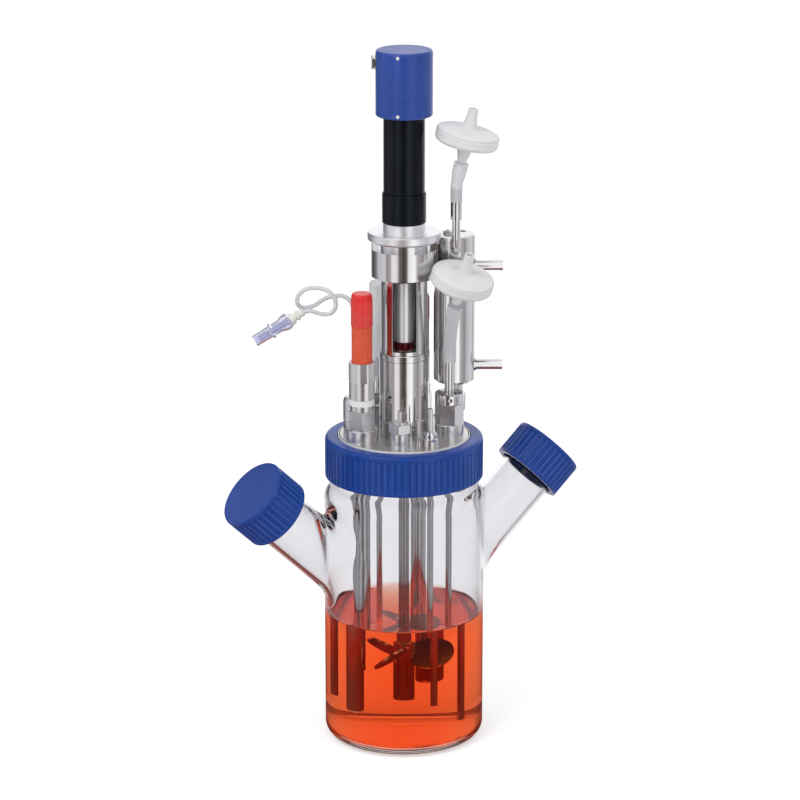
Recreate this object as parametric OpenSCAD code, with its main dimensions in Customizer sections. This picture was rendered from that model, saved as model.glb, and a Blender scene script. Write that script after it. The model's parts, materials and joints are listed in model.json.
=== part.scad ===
// Bench bioreactor: glass vessel with two side arms, clamped head plate,
// overhead stirrer drive, probes, gas lines and an exhaust condenser.
// Millimetres. The origin is the centre of the vessel's flat base, Z is up,
// and the two side arms lie along X.

/* [Vessel] */
// Outer radius of the glass cylinder
vessel_r = 59; // [57:0.5:66]
// Glass thickness of the wall, neck and arms
glass_t = 3.4; // [2.6:0.1:4]
// Glass thickness of the flat floor
floor_t = 5; // [3:0.5:8]
// Radius of the rounded heel
heel_r = 9; // [6:0.5:12]
// Height of the glass rim above the base
rim_z = 225; // [215:1:260]
// How far the neck stands in from the vessel's wall
neck_step = 8.6; // [7.6:0.1:9.4]
// Height of the culture medium
liquid_z = 96.5; // [84:0.5:110]

/* [Side arms] */
// Height where the two arm axes meet the vessel axis
arm_z = 87.5; // [80:0.5:95]
// Tilt of the arms above the horizontal
arm_tilt = 43.5; // [41:0.5:46]
// Outer radius of the arm tube
arm_r = 20.8; // [18:0.2:22]
// Length of the arm axis, from the vessel axis to the arm's rim
arm_len = 167.4; // [162:0.5:180]
// Outer radius of the screw caps
cap_r = 27.2; // [26:0.2:30]
// Height of the screw caps
cap_h = 28; // [24:0.5:32]
// Number of ribs on a screw cap
cap_ribs = 36; // [30:2:60]

/* [Clamp ring and head plate] */
// How far the clamp ring stands in from the vessel's wall
ring_step = 0.8; // [0.4:0.1:1.4]
// Height of the clamp ring
ring_h = 30.4; // [26:0.2:32]
// Number of ribs on the clamp ring
ring_ribs = 74; // [60:2:90]
// Thickness of the head plate's raised middle
plate_t = 8; // [7:0.5:12]
// How far the head plate's raised middle stands in from the neck
plate_step = 2.8; // [2.6:0.1:3.4]

/* [Drive] */
// Outer radius of the bearing housing
housing_r = 18; // [17:0.2:19]
// Height of the bearing housing above the head plate
housing_h = 63.3; // [56:0.5:75]
// Outer radius of the coupling sleeve
sleeve_r = 17; // [16:0.2:17.6]
// Height of the coupling sleeve
sleeve_h = 56; // [50:0.5:65]
// Outer radius of the coupling nut
nut_r = 24; // [22:0.5:26]
// Outer radius of the drive flange
flange_r = 26.5; // [25:0.5:29]
// Outer radius of the motor tube
motor_r = 15; // [14.4:0.1:15.6]
// Height of the motor tube below its cap
motor_h = 56; // [50:0.5:70]
// Outer radius of the motor cap
hood_r = 20.5; // [19:0.2:22]
// Height of the motor cap
hood_h = 47.5; // [40:0.5:55]

/* [Stirrer] */
// Radius of the stirrer shaft
shaft_r = 4; // [3.4:0.1:4.2]
// Height of the impeller hub's lower end
hub_z = 30; // [24:0.5:36]
// Length of the impeller hub
hub_len = 46; // [42:0.5:48]
// Outer radius of the impeller hub
hub_r = 5.8; // [5.4:0.1:6.2]
// Radius of one round impeller blade
blade_r = 13; // [10:0.2:13.2]
// Pitch of the blades from the horizontal
blade_pitch = 45; // [30:1:60]
// Number of impeller blades
blades = 3; // [2:1:3]

/* [Ports] */
// Distance of the front probe from the vessel axis
probe_at = 35.4; // [35:0.1:35.8]
// Radius of the probe shaft
probe_r = 6; // [5:0.1:6.2]
// Length of the front probe's coloured head and cap
probe_head = 52; // [44:0.5:60]
// Distance of the gas inlet from the vessel axis
inlet_at = 33.4; // [32.8:0.1:34]
// Radius of the dip tubes
tube_r = 2.3; // [1.8:0.1:2.5]
// Outer radius of the gas filter discs
filter_r = 23; // [21:0.2:24]
// Radius of the condenser body
cond_r = 15.2; // [13.5:0.1:15.6]
// Length of the condenser body
cond_h = 111; // [100:1:125]
// Outer radius of the condenser's hose nipples
nipple_r = 4; // [3:0.1:5]
// Outer radius of the sample line
line_r = 1.6; // [1.2:0.1:2]

/* [Fits] */
// Running clearance between turning parts, per side
fit = 0.05; // [0.02:0.01:0.08]
// Gap between faces that rest on each other but move apart
seat = 0.02; // [0.01:0.01:0.05]

/* [Hidden] */
$fn = 48;
neck_r = vessel_r - neck_step;
ring_r = vessel_r - ring_step;
plate_r = neck_r - plate_step;
thread_r = neck_r + 2.2;
// The ports are set out on a plate of 47.6 and spread with it
spread = plate_r/47.6;
mouth_r = neck_r - glass_t;
inner_r = vessel_r - glass_t;
shoulder_h = 14;
shoulder_z = rim_z - 42;
seal_t = 1.5;
under_z = rim_z + seal_t;
top_z = under_z + plate_t - 1.5;
lip_z = top_z - 4;
plug_r = mouth_r - 0.6;
flange_out = neck_r + 1;
slip_t = 0.9;
ring_top = lip_z + slip_t + 2.4;
ring_z = ring_top - ring_h;
lip_in = plate_r + 1.3;
cap_top = 3;
seal_d = 1.6;
arm_in = arm_r - glass_t;
arm_band = arm_r + 1.4;
housing_top = top_z + housing_h;
hub_bore = 10;
sleeve_in = sleeve_r - 3;
nut_z = housing_top + sleeve_h;
nut_h = 21;
castle_h = 6;
flange_z = nut_z + nut_h + castle_h;
flange_t = 6.4;
collar_z = flange_z + flange_t + 6.6;
collar_h = 22.2;
hood_z = collar_z + collar_h + motor_h;
hub_top = nut_z + 3;
spider_z = housing_top + 0.8;
spider_h = 6.4;
blade_at = blade_r + 1.5;
blade_z = hub_z + hub_len - 10;
bearing_r = 11;
bearing_h = 7;
seal_r = 9;
sweep = blade_at + blade_r + 1.1;
hose_h = 70.4;
thread_d = 4;
lug = 0.6;

// Where each port stands on the head plate: angle and distance
probe_a = 182.5;
sample_a = 133.6;
sample_at = 37.9;
inlet_a = -36.6;
front_a = 236.8;
front_at = 33.4;
feed_a = -81.8;
feed_at = 32.2;
vent_a = -99.3;
vent_at = 32.7;
cond_a = -3.3;
cond_at = 40.6;
rear_a = 44.1;
rear_at = 35.7;
hose_a = 91.2;
hose_at = 38.4;
window_a = 243.5;
window_half = 30;

cond_z = top_z + 36;
line_top = top_z + 29;

// The gas inlet's sleeve and filter lean outwards, away from the condenser
inlet_p = spread*inlet_at*[cos(inlet_a), sin(inlet_a)];
// The filter on the inlet stays below the exhaust tube
inlet_up = cond_z + cond_h - 90;
inlet_route = [
    [inlet_p[0], inlet_p[1], inlet_up - 1], [inlet_p[0], inlet_p[1], inlet_up + 8],
    [inlet_p[0] - 0.3, inlet_p[1] - 1.4, inlet_up + 17],
    [inlet_p[0] - 1, inlet_p[1] - 5, inlet_up + 28],
    [inlet_p[0] - 1.6, inlet_p[1] - 9, inlet_up + 37.5],
    [inlet_p[0] - 1.9, inlet_p[1] - 12, inlet_up + 44]];
inlet_tilt = 20;
inlet_toward = -73;

// The exhaust leaves the condenser's side, turns up and ends in the second filter
exhaust_a = cond_a - 113;
exhaust_bend = 4.6;
exhaust_out = cond_r + exhaust_bend;
exhaust_p = spread*cond_at*[cos(cond_a), sin(cond_a)]
    + exhaust_out*[cos(exhaust_a), sin(exhaust_a)];
exhaust_z = cond_z + cond_h - 9;
exhaust_up = cond_z + cond_h + 29;
exhaust_tilt = 12.6;
exhaust_toward = -46;

// Points the sample line passes, measured from its fitting's top
line_points = [[-26.2, 27.5, -2], [-26.2, 27.5, 14], [-26.2, 27.5, 30], [-26.3, 27.5, 44],
    [-26.9, 27.5, 51.6], [-27.3, 27.5, 59.2], [-29.2, 27.7, 66.5], [-34.9, 29.4, 71],
    [-42.2, 31.5, 71.2], [-47.9, 35.5, 68.5], [-53.8, 38.8, 63.9], [-61.6, 39.8, 63],
    [-66.8, 38.9, 66.8], [-68, 35.7, 73.6], [-63.8, 31.8, 79], [-56.5, 28.5, 79.9],
    [-50.2, 23.8, 78.2], [-46, 20.5, 72.3], [-45.2, 21.1, 65.4], [-47.6, 24.1, 60.8],
    [-52.3, 27.8, 59.9], [-61.5, 30.5, 62.8], [-67, 32.2, 61.5]];
line_steps = 3;
line_shift = (spread - 1)*sample_at*[cos(sample_a), sin(sample_a), 0];
valve_from = [-66.8, 32.1, line_top + 63.3] + line_shift;
valve_turn = [0, 120, 160.5];

function arc(cx, cy, rx, ry, a, b, n) =
    [for (i = [0:n]) let (t = a + (b - a)*i/n) [cx + rx*cos(t), cy + ry*sin(t)]];
function rib_points(n, lo, hi) =
    [for (i = [0:n - 1]) for (k = [0:3])
        let (a = 360/n*(i + [0, 0.34, 0.5, 0.84][k]), r = k < 2 ? hi : lo) [r*cos(a), r*sin(a)]];
function curve(p, i, t) =
    let (a = p[max(0, i - 1)], b = p[i], c = p[i + 1], d = p[min(len(p) - 1, i + 2)])
    b + (c - a)*t/2 + (2*a - 5*b + 4*c - d)*t*t/2 + (3*b - a - 3*c + d)*t*t*t/2;
function smooth(p, n) =
    [for (i = [0:len(p) - 2]) for (k = [0:n - 1]) curve(p, i, k/n), p[len(p) - 1]];
function unit(v) = v/norm(v);
function across(d, u) = unit(u - d*(u*d));
function frames(p, i, u) =
    i >= len(p) ? [] :
    let (d = unit(p[min(i + 1, len(p) - 1)] - p[max(i - 1, 0)]), s = across(d, u))
    concat([[s, cross(d, s)]], frames(p, i + 1, s));

// A tube of one closed skin that follows the points p
module swept(p, r, sides) {
    f = frames(p, 0, [0.31, 0.95, 0.02]);
    n = len(p);
    polyhedron(
        points = [for (i = [0:n - 1]) for (k = [0:sides - 1])
            p[i] + r*(cos(360*k/sides)*f[i][0] + sin(360*k/sides)*f[i][1])],
        faces = concat(
            [[for (k = [0:sides - 1]) sides - 1 - k]],
            [for (i = [0:n - 2]) for (k = [0:sides - 1])
                let (a = i*sides + k, b = i*sides + (k + 1) % sides) [a, b, b + sides, a + sides]],
            [[for (k = [0:sides - 1]) (n - 1)*sides + k]]),
        convexity = 8);
}

module at(a, r, z = 0) { rotate(a) translate([r*spread, 0, z]) children(); }
module lean(tilt, toward) { rotate(toward) rotate([0, tilt, 0]) rotate(-toward) children(); }
module tube(r, hole, h) {
    difference() { cylinder(r = r, h = h); translate([0, 0, -1]) cylinder(r = hole, h = h + 2); }
}
// A hexagon with its two ends turned to a cone
module hexagon(r, h) {
    c = r*0.11;
    intersection() {
        cylinder(r = r, h = h, $fn = 6);
        rotate_extrude() polygon([[0, 0], [r - c, 0], [r + 0.1, c*0.6], [r + 0.1, h - c*0.6],
            [r - c, h], [0, h]]);
    }
}
module along_arm(side, t) {
    translate([0, 0, arm_z]) rotate([0, side*(90 - arm_tilt), 0]) translate([0, 0, t]) children();
}

// ---- Vessel ----

module glass_vessel() color([0.86, 0.93, 0.95, 0.35]) {
    outside = concat([[0, 0]], arc(vessel_r - heel_r, heel_r, heel_r, heel_r, -90, 0, 6),
        arc(neck_r, shoulder_z, vessel_r - neck_r, shoulder_h, 0, 84, 6),
        [[neck_r, shoulder_z + shoulder_h + 1], [neck_r, rim_z - 19], [thread_r, rim_z - 17.6],
        [thread_r, rim_z - 4], [neck_r + 0.8, rim_z - 2.4], [neck_r + 0.4, rim_z], [0, rim_z]]);
    hin = heel_r - glass_t + 1;
    inside = concat([[0, floor_t]], arc(inner_r - hin, floor_t + hin, hin, hin, -90, 0, 6),
        arc(mouth_r, shoulder_z, inner_r - mouth_r, shoulder_h - 1, 0, 84, 6),
        [[mouth_r, shoulder_z + shoulder_h + 1], [mouth_r, rim_z + 1], [0, rim_z + 1]]);
    difference() {
        rotate_extrude($fn = 96) polygon(outside);
        rotate_extrude($fn = 96) polygon(inside);
        for (s = [-1, 1]) along_arm(s, 44) cylinder(r = arm_in, h = arm_len, $fn = 64);
    }
}
// The arms meet the vessel's wall face to face and open into it
module side_arms() color([0.86, 0.93, 0.95, 0.35]) for (s = [-1, 1]) difference() {
    union() {
        along_arm(s, 50) cylinder(r = arm_r, h = arm_len - 50, $fn = 64);
        along_arm(s, arm_len - 16) cylinder(r = arm_band, h = 13, $fn = 64);
    }
    along_arm(s, 44) cylinder(r = arm_in, h = arm_len, $fn = 64);
    translate([0, 0, heel_r]) cylinder(r = vessel_r, h = shoulder_z - heel_r, $fn = 96);
}

module culture_medium() color([0.92, 0.33, 0.13, 0.85]) {
    hin = heel_r - glass_t + 1;
    gap = 0.1;
    difference() {
        rotate_extrude($fn = 72) polygon(concat([[0, floor_t + gap]],
            arc(inner_r - hin, floor_t + hin, hin - gap, hin - gap, -90, 0, 5),
            [[inner_r - gap, liquid_z], [0, liquid_z]]));
        translate([0, 0, hub_z - 0.8]) cylinder(r = hub_r + 0.8, h = 200);
        translate([0, 0, blade_z - blade_r*sin(blade_pitch) - 2.4])
            cylinder(r = sweep, h = 2*blade_r*sin(blade_pitch) + 4.8);
        at(probe_a, probe_at, 23) cylinder(r = probe_r + 0.1, h = 200);
        at(sample_a, sample_at, 25) cylinder(r = tube_r + 0.1, h = 200);
        at(inlet_a, inlet_at, 12) cylinder(r = tube_r + 0.1, h = 200);
        at(feed_a, feed_at, 31) cylinder(r = tube_r + 0.1, h = 200);
        at(rear_a, rear_at, 33) cylinder(r = probe_r + 0.1, h = 200);
        at(hose_a, hose_at, 42) cylinder(r = tube_r + 0.1, h = 200);
    }
}

// ---- Screw caps, modelled upright on the arm's axis ----

module cap_shape() {
    difference() {
        union() {
            translate([0, 0, 1.6]) linear_extrude(cap_h - 4.4)
                polygon(rib_points(cap_ribs, cap_r - 0.9, cap_r - 0.1));
            cylinder(r = cap_r, h = 1.7);
            translate([0, 0, cap_h - 2.9]) rotate_extrude()
                polygon([[0, 0], [cap_r, 0], [cap_r, 1], [cap_r - 0.5, 2], [cap_r - 1.7, 2.9],
                    [0, 2.9]]);
        }
        translate([0, 0, -1]) cylinder(r = arm_band + fit, h = cap_h - cap_top + 1, $fn = 64);
    }
}
module left_cap() color([0.15, 0.28, 0.62])
    along_arm(-1, arm_len + seal_d + 2*seat + cap_top - cap_h) cap_shape();
module right_cap() color([0.15, 0.28, 0.62])
    along_arm(1, arm_len + seal_d + 2*seat + cap_top - cap_h) cap_shape();
module cap_liner() cylinder(r = arm_band - 0.3, h = seal_d);
module left_cap_seal() color([0.93, 0.93, 0.9]) along_arm(-1, arm_len + seat) cap_liner();
module right_cap_seal() color([0.93, 0.93, 0.9]) along_arm(1, arm_len + seat) cap_liner();

// ---- Head plate and its clamp ring ----

module port(a, r, hole, spigot) {
    at(a, r, top_z - thread_d) cylinder(r = spigot, h = thread_d + 1);
    at(a, r, rim_z - 20) cylinder(r = hole, h = 60);
}
module head_plate() color([0.78, 0.79, 0.8]) {
    difference() {
        rotate_extrude($fn = 96) polygon([[0, rim_z - 4], [plug_r - 1, rim_z - 4],
            [plug_r, rim_z - 3], [plug_r, under_z], [flange_out, under_z], [flange_out, lip_z],
            [plate_r, lip_z], [plate_r, top_z - 0.6], [plate_r - 0.6, top_z], [0, top_z]]);
        translate([0, 0, rim_z - 20]) cylinder(r = 13 + fit, h = 60);
        port(probe_a, probe_at, probe_r + 0.1, probe_r + 2);
        port(sample_a, sample_at, tube_r + 0.1, 5);
        port(inlet_a, inlet_at, tube_r + 0.1, 6);
        port(front_a, front_at, 1, 5);
        port(feed_a, feed_at, tube_r + 0.1, 4);
        port(vent_a, vent_at, 0.6, 1.3);
        port(cond_a, cond_at, 3, 4.5);
        port(rear_a, rear_at, probe_r + 0.1, probe_r + 2);
        port(hose_a, hose_at, tube_r + 0.1, 4.5);
    }
}
module vessel_seal() color([0.9, 0.88, 0.84])
    translate([0, 0, rim_z]) tube(neck_r + 0.4, plug_r + 0.2, seal_t, $fn = 72);

module slip_ring() color([0.93, 0.93, 0.92]) translate([0, 0, lip_z + seat])
    rotate_extrude($fn = 96) polygon([[plate_r + 0.3, 0], [flange_out + 0.6, 0],
        [flange_out + 0.6, slip_t], [plate_r + 0.9, slip_t], [plate_r + 0.9, slip_t + 3],
        [plate_r + 0.3, slip_t + 3]]);

module clamp_ring() color([0.15, 0.28, 0.62]) {
    difference() {
        union() {
            translate([0, 0, ring_z + 1.4]) linear_extrude(ring_h - 5.3)
                polygon(rib_points(ring_ribs, ring_r - 0.9, ring_r - 0.1));
            translate([0, 0, ring_z]) cylinder(r = ring_r, h = 1.5, $fn = 96);
            translate([0, 0, ring_top - 4]) rotate_extrude($fn = 96)
                polygon(concat([[0, 0], [ring_r, 0]],
                    arc(ring_r - 4, 0.6, 4, 3.4, 0, 90, 4), [[0, 4]]));
        }
        translate([0, 0, ring_z - 1])
            cylinder(r = thread_r + fit, h = lip_z + slip_t + 2*seat - ring_z + 1, $fn = 96);
        translate([0, 0, ring_z - 1]) cylinder(r = lip_in, h = ring_h + 2, $fn = 96);
    }
}

// ---- Stirrer drive ----

module bearing_housing() color([0.75, 0.76, 0.77]) {
    difference() {
        union() {
            translate([0, 0, rim_z - 12]) cylinder(r = 13, h = top_z - rim_z + 12.5);
            rotate_extrude($fn = 72) polygon([[0, top_z], [housing_r, top_z],
                [housing_r, housing_top - 5.2], [housing_r - 0.5, housing_top - 5],
                [housing_r - 0.5, housing_top - 4.5], [housing_r + 0.4, housing_top - 4.2],
                [housing_r + 0.4, housing_top - 0.4], [housing_r, housing_top],
                [0, housing_top]]);
        }
        translate([0, 0, rim_z - 40]) cylinder(r = shaft_r + 0.6, h = 200);
        translate([0, 0, rim_z - 13]) cylinder(r = seal_r, h = 7);
        translate([0, 0, top_z + 6]) cylinder(r = bearing_r, h = 200);
        translate([0, 0, housing_top - 4]) cylinder(r = sleeve_in, h = 20);
        for (k = [0:3]) rotate(window_a + 53.5 + 90*k) translate([housing_r - 3, 0, top_z + 31])
            rotate([0, 90, 0]) cylinder(r = 2.1, h = 6);
    }
}
module bearing() difference() {
    cylinder(r = bearing_r - seat, h = bearing_h);
    translate([0, 0, -1]) cylinder(r = shaft_r + fit, h = bearing_h + 2);
    for (z = [-0.1, bearing_h - 0.6]) translate([0, 0, z])
        tube(bearing_r - 2.2, shaft_r + 2, 0.7);
}
module shaft_bearings() color([0.7, 0.71, 0.73])
    for (z = [6, 38]) translate([0, 0, top_z + z]) bearing();
module shaft_seal() color([0.12, 0.12, 0.13])
    translate([0, 0, rim_z - 12]) difference() {
        cylinder(r = seal_r - seat, h = 6);
        translate([0, 0, -1]) cylinder(r = shaft_r + fit, h = 8);
    }

module coupling_sleeve() color([0.77, 0.78, 0.79]) {
    difference() {
        translate([0, 0, housing_top]) tube(sleeve_r, sleeve_in, sleeve_h + nut_h - 2, $fn = 72);
        translate([0, 0, housing_top + 2.6]) rotate(window_a)
            rotate_extrude(angle = 2*window_half, start = -window_half)
                translate([sleeve_in - 1, 0]) square([6, sleeve_h - 4]);
    }
}
module coupling_nut() color([0.8, 0.81, 0.82]) {
    translate([0, 0, nut_z]) rotate_extrude($fn = 72) polygon([[sleeve_r + 0.05, 0],
        [nut_r - 0.8, 0], [nut_r, 0.8], [nut_r, nut_h], [sleeve_r + 0.05, nut_h]]);
    translate([0, 0, nut_z + nut_h - 1]) for (k = [0:3]) rotate(246 + 90*k)
        rotate_extrude(angle = 28, start = -14) translate([sleeve_r + 2.2, 0])
            square([nut_r - sleeve_r - 2.3, castle_h + 1]);
}
module drive_flange() color([0.83, 0.84, 0.85]) difference() {
    union() {
        translate([0, 0, flange_z]) rotate_extrude($fn = 72) polygon([[0, 0],
            [flange_r - 1.2, 0], [flange_r, 1.2], [flange_r, flange_t - 0.5],
            [flange_r - 0.5, flange_t], [0, flange_t]]);
        translate([0, 0, flange_z - castle_h - 2]) cylinder(r = sleeve_r, h = castle_h + 3);
        translate([0, 0, flange_z + flange_t - 0.5]) cylinder(r = motor_r + 0.3, h = 7.1);
    }
    translate([0, 0, nut_z]) cylinder(r = 3 + fit, h = 200);
    translate([0, 0, flange_z + 8]) cylinder(r = 8, h = 30);
}
module motor_collar() color([0.07, 0.07, 0.08]) translate([0, 0, collar_z])
    rotate_extrude($fn = 64) polygon([[8.5, 0], [motor_r + 0.5, 0], [motor_r + 1, 0.5],
        [motor_r + 1, collar_h - 0.8], [motor_r + 0.4, collar_h], [8.5, collar_h]]);
module motor_body() color([0.05, 0.05, 0.06]) translate([0, 0, collar_z + collar_h])
    difference() {
        rotate_extrude($fn = 64) polygon([[0, 0], [motor_r - 0.4, 0], [motor_r, 0.4],
            [motor_r, motor_h + hood_h - 14], [motor_r - 1, motor_h + hood_h - 13],
            [0, motor_h + hood_h - 13]]);
        translate([0, 0, -1]) cylinder(r = motor_r - 2, h = 3);
        translate([0, 0, 1]) cylinder(r = motor_r - 2, h = motor_h + hood_h - 20);
    }
module motor_shaft() color([0.8, 0.81, 0.82])
    translate([0, 0, hub_top - 14]) cylinder(r = 3, h = collar_z + collar_h + 66 - hub_top + 14);
module motor_cap() color([0.15, 0.28, 0.62]) translate([0, 0, hood_z]) difference() {
    rotate_extrude($fn = 64) polygon([[0, 0], [hood_r - 0.8, 0], [hood_r, 0.8],
        [hood_r, hood_h - 1.8], [hood_r - 0.6, hood_h - 0.5], [hood_r - 1.8, hood_h],
        [0, hood_h]]);
    translate([0, 0, -1]) cylinder(r = motor_r + 0.05, h = 12);
    translate([0, 0, 10]) cylinder(r = hood_r - 2.6, h = hood_h - 13);
    for (z = [2.6, hood_h - 3]) rotate(229) translate([hood_r - 3, 0, z])
        rotate([0, 90, 0]) cylinder(r = 1.25, h = 6, $fn = 24);
    rotate(152) translate([hood_r - 4, 0, hood_h - 9.2]) rotate([0, 90, 0])
        cylinder(r = 4.2, h = 8);
}
module cap_screw() {
    difference() {
        rotate([0, 90, 0]) cylinder(r = 1.2, h = 3, $fn = 24);
        translate([2.5, 0, 0]) rotate([0, 90, 0]) cylinder(r = 0.6, h = 1, $fn = 6);
    }
}
module motor_screws() color([0.9, 0.9, 0.9]) {
    for (z = [2.6, hood_h - 3]) translate([0, 0, hood_z + z]) rotate(229)
        translate([hood_r - 3 + 0.02, 0, 0]) cap_screw();
}
module motor_socket() color([0.8, 0.81, 0.82])
    translate([0, 0, hood_z + hood_h - 9.2]) rotate(152) translate([hood_r - 3.9, 0, 0])
        rotate([0, 90, 0]) difference() {
            union() {
                cylinder(r = 4.1, h = 5);
                translate([0, 0, 4]) rotate_extrude() polygon([[0, 0], [5.3, 0], [5.3, 2.1],
                    [4.8, 2.7], [0, 2.7]]);
            }
            translate([0, 0, 3]) cylinder(r = 3, h = 6);
        }

// The drive's hub above the spider and the shaft's hub below it
module coupling_hubs() color([0.86, 0.87, 0.88]) {
    translate([0, 0, spider_z + spider_h]) difference() {
        rotate_extrude() polygon([[0, 0], [6.8, 0], [7.3, 0.5],
            [7.3, hub_top - spider_z - spider_h - 0.5], [6.8, hub_top - spider_z - spider_h],
            [0, hub_top - spider_z - spider_h]]);
        translate([0, 0, hub_top - 14 - spider_z - spider_h]) cylinder(r = 3, h = 60);
    }
    difference() {
        translate([0, 0, housing_top - 13]) cylinder(r = 7.3, h = 13.8);
        translate([0, 0, housing_top - 14]) cylinder(r = shaft_r, h = 11);
    }
}
module coupling_spider() color([0.5, 0.07, 0.09]) translate([0, 0, spider_z]) difference() {
    linear_extrude(spider_h) polygon(rib_points(6, 4.6, 7));
    translate([0, 0, -1]) cylinder(r = 1.6, h = 20);
}
module stirrer_shaft() color([0.8, 0.81, 0.82])
    translate([0, 0, hub_z + 6]) cylinder(r = shaft_r, h = housing_top - 3 - hub_z - 6);

// ---- Impeller: round blades on a long hub ----

module impeller() color([0.78, 0.79, 0.8]) difference() {
    union() {
        translate([0, 0, hub_z]) rotate_extrude() polygon([[0, 0], [hub_r - 0.6, 0],
            [hub_r, 0.6], [hub_r, hub_len - 0.6], [hub_r - 0.6, hub_len], [0, hub_len]]);
        for (k = [0:blades - 1]) rotate(92 + 360*k/blades) translate([blade_at, 0, blade_z])
            rotate([blade_pitch, 0, 0]) translate([0, 0, -0.9]) cylinder(r = blade_r, h = 1.8);
    }
    translate([0, 0, hub_z + 6]) cylinder(r = shaft_r, h = 200);
}

// ---- Front probe ----

module adapter(r, h, bore, spigot) difference() {
    union() {
        translate([0, 0, -thread_d + 0.1]) cylinder(r = spigot - 0.05, h = thread_d);
        rotate_extrude() polygon([[0, 0], [r, 0], [r, h - 0.6], [r - 0.6, h], [0, h]]);
    }
    translate([0, 0, -thread_d - 1]) cylinder(r = bore, h = h + thread_d + 2);
}
module probe_adapter() color([0.74, 0.75, 0.76])
    at(probe_a, probe_at, top_z) adapter(11.4, 9.5, probe_r + 0.1, probe_r + 2);
module probe_nut() color([0.8, 0.81, 0.82]) at(probe_a, probe_at, top_z + 9.5) difference() {
    union() {
        hexagon(10.7, 14.5);
        translate([0, 0, 14.5]) cylinder(r = 8.8, h = 3.6);
    }
    translate([0, 0, -1]) cylinder(r = probe_r + 0.1, h = 40);
    for (k = [0:5]) rotate(60*k) translate([4, 0, 16.4]) rotate([0, 90, 0])
        cylinder(r = 0.9, h = 8, $fn = 16);
}
module probe_washer() color([0.95, 0.95, 0.94])
    at(probe_a, probe_at, top_z + 27.6) tube(9.2, probe_r + 0.1, 4.8);
module probe_collar() color([0.82, 0.83, 0.84])
    at(probe_a, probe_at, top_z + 32.4) difference() {
        union() {
            cylinder(r = 9.5, h = 13);
            translate([0, 0, 13]) intersection() {
                cylinder(r = 10.3, h = 14.6, $fn = 8);
                cylinder(r = 9.8, h = 14.6);
            }
            translate([0, 0, 13]) cylinder(r = 8.9, h = 1);
        }
        translate([0, 0, -1]) cylinder(r = probe_r + 0.1, h = 24);
        translate([0, 0, 22.9]) cylinder(r = 8.1, h = 10);
    }
module probe_shaft() color([0.8, 0.81, 0.82])
    at(probe_a, probe_at, 24) rotate_extrude() polygon(concat([[0, 0]],
        arc(probe_r - 2.4, 2.4, 2.4, 2.4, -90, 0, 4),
        [[probe_r, top_z + 31], [0, top_z + 31]]));
module probe_head() color([0.88, 0.34, 0.2])
    at(probe_a, probe_at, top_z + 55.4) rotate_extrude() polygon([[0, 0], [8, 0],
        [8, 4.6], [7.5, 5], [7.5, probe_head*0.6], [6, probe_head*0.6],
        [6, probe_head*0.9], [0, probe_head*0.9]]);
module probe_cap() color([0.88, 0.18, 0.17])
    at(probe_a, probe_at, top_z + 55.4 + probe_head*0.6 + 0.2) rotate_extrude() polygon([
        [6.05, 0], [7.9, 0], [7.9, probe_head*0.36], [7.4, probe_head*0.445],
        [6.6, probe_head*0.465], [0, probe_head*0.465], [0, probe_head*0.31],
        [6.05, probe_head*0.31]]);

// ---- Rear probe ----

module rear_fitting() color([0.76, 0.77, 0.78]) at(rear_a, rear_at, top_z) difference() {
    union() {
        adapter(10.6, 9, probe_r + 0.1, probe_r + 2);
        translate([0, 0, 9]) hexagon(10.4, 13);
        translate([0, 0, 22]) cylinder(r = 9, h = 6);
    }
    cylinder(r = probe_r + 0.1, h = 60);
}
module rear_probe() color([0.8, 0.81, 0.82]) at(rear_a, rear_at, 34) rotate_extrude() polygon(
    concat([[0, 0]], arc(probe_r - 2.4, 2.4, 2.4, 2.4, -90, 0, 4), [[probe_r, top_z - 5.9],
        [8.6, top_z - 5.9], [8.6, top_z + 20], [0, top_z + 20]]));
module rear_probe_head() color([0.2, 0.22, 0.25]) at(rear_a, rear_at, top_z + 54)
    rotate_extrude() polygon([[0, 0], [7.6, 0], [7.6, 24], [6, 24], [6, 40], [0, 40]]);
module rear_probe_cap() color([0.6, 0.1, 0.12]) at(rear_a, rear_at, top_z + 78.2)
    rotate_extrude() polygon([[6.05, 0], [7.9, 0], [7.9, 16], [7.2, 18.6], [0, 18.6], [0, 16.2],
        [6.05, 16.2]]);

// ---- Sample port, line and valve ----

module sample_fitting() color([0.77, 0.78, 0.79]) at(sample_a, sample_at, top_z) difference() {
    union() {
        adapter(8.6, 7, tube_r + 0.1, 5);
        translate([0, 0, 7]) rotate_extrude() polygon(concat([[0, 0], [8.9, 0]],
            arc(6.4, 14, 2.5, 4, 0, 90, 4), [[0, 18]]));
    }
    translate([0, 0, -5]) cylinder(r = tube_r + 0.1, h = 60);
}
module sample_tube() color([0.78, 0.79, 0.8]) difference() {
    at(sample_a, sample_at, 26) cylinder(r = tube_r, h = line_top - 26);
    at(sample_a, sample_at, 25) cylinder(r = tube_r - 0.8, h = line_top - 20);
}
module sample_line() color([0.93, 0.94, 0.94])
    swept([for (p = smooth(line_points, line_steps)) p + line_shift + [0, 0, line_top + 1.6]],
        line_r, 10);
module line_connector() color([0.93, 0.93, 0.9]) translate(valve_from) rotate(valve_turn)
    rotate_extrude() polygon([[0, 0.6], [2.2, 0.6], [2.2, -1.2], [2.8, -1.2], [2.8, 2.8],
        [4, 3.2], [4, 4.4], [3.1, 4.8], [3.1, 6.6], [4.6, 7], [4.6, 11.6], [3.6, 12.2],
        [0, 12.2]]);
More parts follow.
